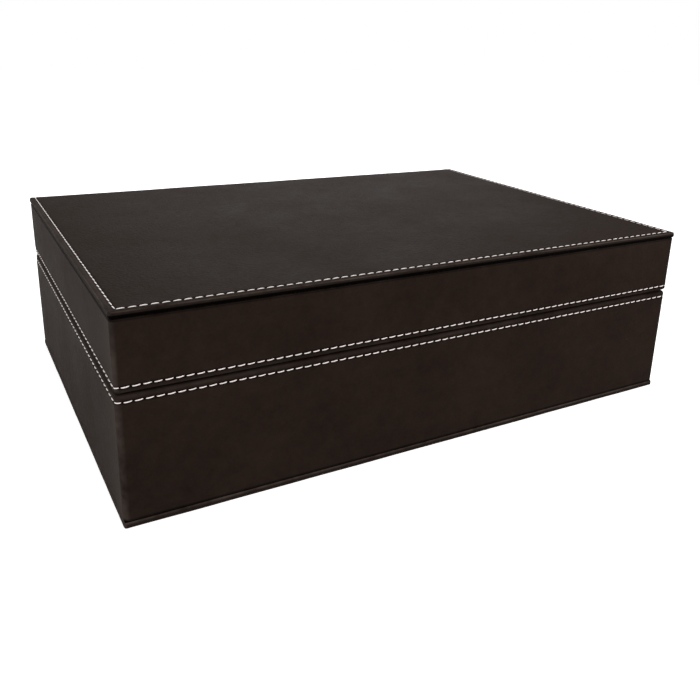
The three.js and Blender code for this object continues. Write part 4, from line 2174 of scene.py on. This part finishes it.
@dataclass
class Seams:
    """The thread of every seam."""

    sizes: BoxSizes
    finishes: Finishes
    sewing: Sewing = field(default_factory=Sewing)

    def build(self, base: WallSleeve, lid: WallSleeve, sheet: TopAndBack) -> None:
        """Sews the seams.

        Args:
            base: The base's sleeve.
            lid: The lid's sleeve.
            sheet: The layout of the top and back sheet.
        """
        hand = Seamstress(self.sewing, self.finishes.thread)
        left, right = (self.long_chain(sheet, sheet.top_run, side) for side in (-1, 1))
        top = [left, self.front_chain(sheet), right]
        back = {side: [self.long_chain(sheet, sheet.base_run, side)] for side in (-1, 1)}
        for piece_name, chains, body, node in (
            ("base_rim_thread", base.thread_chains(), Body.BASE, "base_rim_stitching"),
            ("lid_rim_thread", lid.thread_chains(), Body.LID, "lid_rim_stitching"),
            ("top_thread", top, Body.LID, "lid_top_stitching"),
            ("base_back_thread_left", back[-1], Body.BASE, "base_back_stitching_left"),
            ("base_back_thread_right", back[1], Body.BASE, "base_back_stitching_right"),
        ):
            piece = hand.sew(piece_name, chains)
            finish_piece(piece, self.finishes.thread, Slot.THREAD, body, node)

    @staticmethod
    def front_chain(sheet: TopAndBack) -> SeamChain:
        """The seam along the top's front edge.

        Args:
            sheet: The layout of the sheet.

        Returns:
            The chain, from left to right.
        """
        run = sheet.front_run
        x = np.linspace(run.start, run.end, run.count * LEVEL_STEPS_PER_STITCH + 1)
        face = sheet.surface(x, np.zeros_like(x))
        across = np.tile([0.0, 1.0, 0.0], (len(x), 1))
        return SeamChain(face.points, face.facing, across, run.count)

    def long_chain(self, sheet: TopAndBack, run: SeamRun, side: int) -> SeamChain:
        """A run of a long seam.

        Args:
            sheet: The layout of the sheet.
            run: The run.
            side: -1 for the left seam, 1 for the right.

        Returns:
            The chain, followed towards the front on the left and away from it on the right.
        """
        steps = run.count * BENT_STEPS_PER_STITCH
        distances = np.linspace(run.start, run.end, steps + 1)[::side]
        face = sheet.surface(np.full_like(distances, side * self.sizes.seam_x), distances)
        across = np.tile([-float(side), 0.0, 0.0], (len(distances), 1))
        return SeamChain(face.points, face.facing, across, run.count)


@dataclass
class VelvetPanels:
    """Velvet-covered cards that line the base and the lid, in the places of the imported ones."""

    finishes: Finishes
    corner: float = 0.75
    corner_steps: int = 4
    cell: float = 7.0
    sag: float = 0.16
    wave_count: int = 5
    wave_length: float = 42.0
    seed: int = 21

    def build(self) -> None:
        """Makes every panel."""
        flat = {Body.BASE: "floor", Body.LID: "ceiling"}
        walls = ("front", "back", "left", "right")
        names = [(body, panel) for body in Body for panel in (flat[body], *walls)]
        for number, (body, panel) in enumerate(names):
            node = f"{body.value}_{panel}_lining"
            piece = self.panel(f"{body.value}_{panel}_velvet", node, self.seed + number)
            finish_piece(piece, self.finishes.velvet, Slot.VELVET, body, node)

    def panel(self, name: str, node: str, seed: int) -> bpy.types.Object:
        """Makes a panel: a card with rounded edges and a slightly uneven velvet face.

        Args:
            name: Name of the piece.
            node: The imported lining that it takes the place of.
            seed: Fixes its unevenness.

        Returns:
            The piece.
        """
        low, high = (np.array(corner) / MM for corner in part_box(node))
        place, faces = self.card(low, high)
        core = np.clip(place, low + self.corner, high - self.corner)
        away = place - core
        reach = np.linalg.norm(away, axis=1)[:, None]
        place = core + away / np.maximum(reach, SAME_PLACE) * self.corner
        draw = np.random.default_rng(seed)
        waves = draw.normal(size=(self.wave_count, 3)) * (2 * math.pi / self.wave_length)
        shifts = draw.uniform(0, 2 * math.pi, size=self.wave_count)
        dip = (1 + np.sin(place @ waves.T + shifts).mean(axis=1)) * self.sag
        thin = int(np.argmin(high - low))
        place[:, thin] += np.sign((low + high)[thin] / 2 - place[:, thin]) * dip
        return make_piece(name, place, faces)

    def card(self, low: Array, high: Array) -> tuple[Array, list]:
        """The six gridded faces of a card.

        Args:
            low: Its lowest corner.
            high: Its highest corner.

        Returns:
            The points and the faces.
        """
        lines = [self.lines(low[axis], high[axis]) for axis in range(3)]
        points: list[list[float]] = []
        faces: list[tuple[int, ...]] = []
        for axis, end in product(range(3), (low, high)):
            first, second = (a for a in range(3) if a != axis)
            start, width = len(points), len(lines[second])
            for one, two in product(lines[first], lines[second]):
                point = [float(end[axis])] * 3
                point[first], point[second] = one, two
                points.append(point)
            for i, j in product(range(len(lines[first]) - 1), range(width - 1)):
                corner = start + i * width + j
                faces.append((corner, corner + width, corner + width + 1, corner + 1))
        return np.array(points), faces

    def lines(self, low: float, high: float) -> Lines:
        """Lines across a panel, close together at its rounded edges.

        Args:
            low: One side of the panel.
            high: The other.

        Returns:
            The lines.
        """
        turns = [QUARTER * k / self.corner_steps for k in range(self.corner_steps + 1)]
        edge = [self.corner * (1 - math.cos(turn)) for turn in turns]
        inner = (low + self.corner, high - self.corner)
        middle = steps_from(*inner, whole_steps(inner[1] - inner[0], self.cell))[1:-1]
        return [low + a for a in edge] + middle + [high - a for a in reversed(edge)]


@dataclass
class BoardsAndMagnets:
    """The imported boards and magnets, whose shapes are right as they are."""

    finishes: Finishes

    def build(self) -> None:
        """Gives each its finish."""
        slabs = dict.fromkeys(("top_board", "bottom_board"), self.finishes.greyboard)
        for name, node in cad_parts.items():
            if name.endswith("_board"):
                material = slabs.get(name, self.finishes.fibreboard)
            elif "_magnet_" in name:
                material = self.finishes.nickel
            else:
                continue
            for slot in node.material_slots:
                slot.material = material
            if not node.material_slots:
                node.data.materials.append(material)
            log.info("%s: packed shape, %s", name, material.name)


# ---- Studio ----


@dataclass(frozen=True)
class CameraFit:
    """The photograph's viewing point, in millimetres, degrees and pixels of its frame."""

    place: tuple[float, float, float] = (-202.4, -382.1, 193.37)
    azimuth: float = 30.5
    elevation: float = 17.92
    roll: float = 1.99
    focal: float = 769.94
    centre: Pair = (373.27, 280.55)
    picture: float = 700.0
    sensor: float = 36.0
    near: float = 0.01

    def build(self) -> None:
        """Sets up the scene's camera."""
        azimuth, elevation, roll = map(math.radians, (self.azimuth, self.elevation, self.roll))
        turns = ((-azimuth, "Z"), (QUARTER - elevation, "X"), (roll, "Z"))
        turned, tilted, rolled = (Matrix.Rotation(angle, 4, axis) for angle, axis in turns)
        data = bpy.data.cameras.new("camera")
        data.sensor_width = self.sensor
        data.lens = self.focal / self.picture * self.sensor
        data.shift_x = (self.picture / 2 - self.centre[0]) / self.picture
        data.shift_y = (self.centre[1] - self.picture / 2) / self.picture
        data.clip_start = self.near
        camera = in_scene("camera", data)
        moved = Matrix.Translation(Vector(self.place) * MM)
        camera.matrix_world = moved @ turned @ tilted @ rolled
        bpy.context.scene.camera = camera


@dataclass(frozen=True)
class Softbox:
    """A soft lamp: where it hangs, how large it is, and its share of a plain light level."""

    name: str
    place: tuple[float, float, float]
    aim: tuple[float, float, float]
    size: Pair
    share: float

    def build(self) -> None:
        """Hangs the lamp, turned towards its aim."""
        data = bpy.data.lights.new(self.name, "AREA")
        data.shape = "RECTANGLE"
        data.size, data.size_y = self.size
        path = Vector(self.aim) - Vector(self.place)
        data.energy = self.share * math.pi**2 * path.length_squared
        lamp = in_scene(self.name, data)
        lamp.location = self.place
        lamp.rotation_mode = "QUATERNION"
        lamp.rotation_quaternion = path.to_track_quat("-Z", "Y")


@dataclass(frozen=True)
class Studio:
    """A plain pale floor, white surroundings and soft lamps."""

    surroundings: float = 0.42
    floor_half: float = 3.0
    floor_glow: float = 0.68
    floor_colour: Colour = (0.86, 0.86, 0.86)
    white: tuple[float, ...] = (1.0, 1.0, 1.0, 1.0)
    lamps: tuple[Softbox, ...] = (
        Softbox("lamp_above", (0.45, 0.95, 0.78), (0.0, 0.0, 0.05), (0.9, 0.9), 0.58),
        Softbox("lamp_left", (-1.1, -0.35, 0.5), (0.0, 0.0, 0.05), (0.9, 0.7), 0.34),
        Softbox("lamp_front", (0.7, -1.05, 0.55), (0.05, 0.0, 0.05), (0.8, 0.6), 0.6),
    )

    def build(self) -> None:
        """Sets up the floor, the world and the lamps."""
        for lamp in self.lamps:
            lamp.build()
        self.world()
        self.floor()
        bpy.context.scene.view_settings.view_transform = "Standard"

    @staticmethod
    def seen_directly(build: TreeBuilder) -> Wire:
        """Tells what is seen from what lights.

        Args:
            build: The tree's builder.

        Returns:
            1 for what the camera, a reflection or glass sees, and 0 for what light falls on.
        """
        path = build.wires("ShaderNodeLightPath")
        seen = build.math("MAXIMUM", path["Is Camera Ray"], path["Is Glossy Ray"])
        return build.math("MAXIMUM", seen, path["Is Transmission Ray"])

    def world(self) -> None:
        """White where it is seen, and a plain soft light where it lights."""
        world = bpy.data.worlds.new("surroundings")
        build = TreeBuilder(fresh_tree(world))
        strength = self.seen_directly(build) * (1 - self.surroundings) + self.surroundings
        glow = build.wire("ShaderNodeBackground", {"Color": self.white, "Strength": strength})
        build.node("ShaderNodeOutputWorld", {"Surface": glow})
        bpy.context.scene.world = world

    def floor(self) -> None:
        """The pale floor, white where no shadow falls on it."""
        mesh = bpy.data.meshes.new("floor")
        ends = (-self.floor_half, self.floor_half)
        mesh.from_pydata([(x, y, 0.0) for x in ends for y in ends], [], [(0, 2, 3, 1)])
        material = bpy.data.materials.new("pale_floor")
        build = TreeBuilder(fresh_tree(material))
        matt = build.wire("ShaderNodeBsdfDiffuse", {"Color": (*self.floor_colour, 1.0)})
        strength = self.seen_directly(build) * self.floor_glow
        glow = build.wire("ShaderNodeEmission", {"Color": self.white, "Strength": strength})
        both = build.wire("ShaderNodeAddShader", {0: matt, 1: glow})
        build.node("ShaderNodeOutputMaterial", {"Surface": both})
        mesh.materials.append(material)
        in_scene("floor", mesh)


# ---- The box ----


def main() -> None:
    """Sets up the camera and the studio, and builds the box from its sheets to its linings."""
    logging.basicConfig(level=logging.INFO, format="%(name)s: %(message)s")
    CameraFit().build()
    Studio().build()
    sizes = BoxSizes()
    finishes = Finishes()
    layout = TopAndBackCover(sizes, finishes, sizes.lid_wall_inset).build()
    BottomCover(sizes, finishes, sizes.base_wall_inset).build()
    base = WallSleeve(
        sizes, finishes, Body.BASE, sizes.split - sizes.rim_gap / 2,
        sizes.base_wall_inset, sizes.base_front_corner, None, seed=7,
    )
    lid = WallSleeve(
        sizes, finishes, Body.LID, sizes.height - sizes.split - sizes.rim_gap / 2,
        sizes.lid_wall_inset, sizes.lid_front_corner, sizes.height, seed=9,
    )
    base.build()
    lid.build()
    Seams(sizes, finishes).build(base, lid, layout)
    VelvetPanels(finishes).build()
    BoardsAndMagnets(finishes).build()
    bpy.context.view_layer.update()


if __name__ == "__main__":
    main()
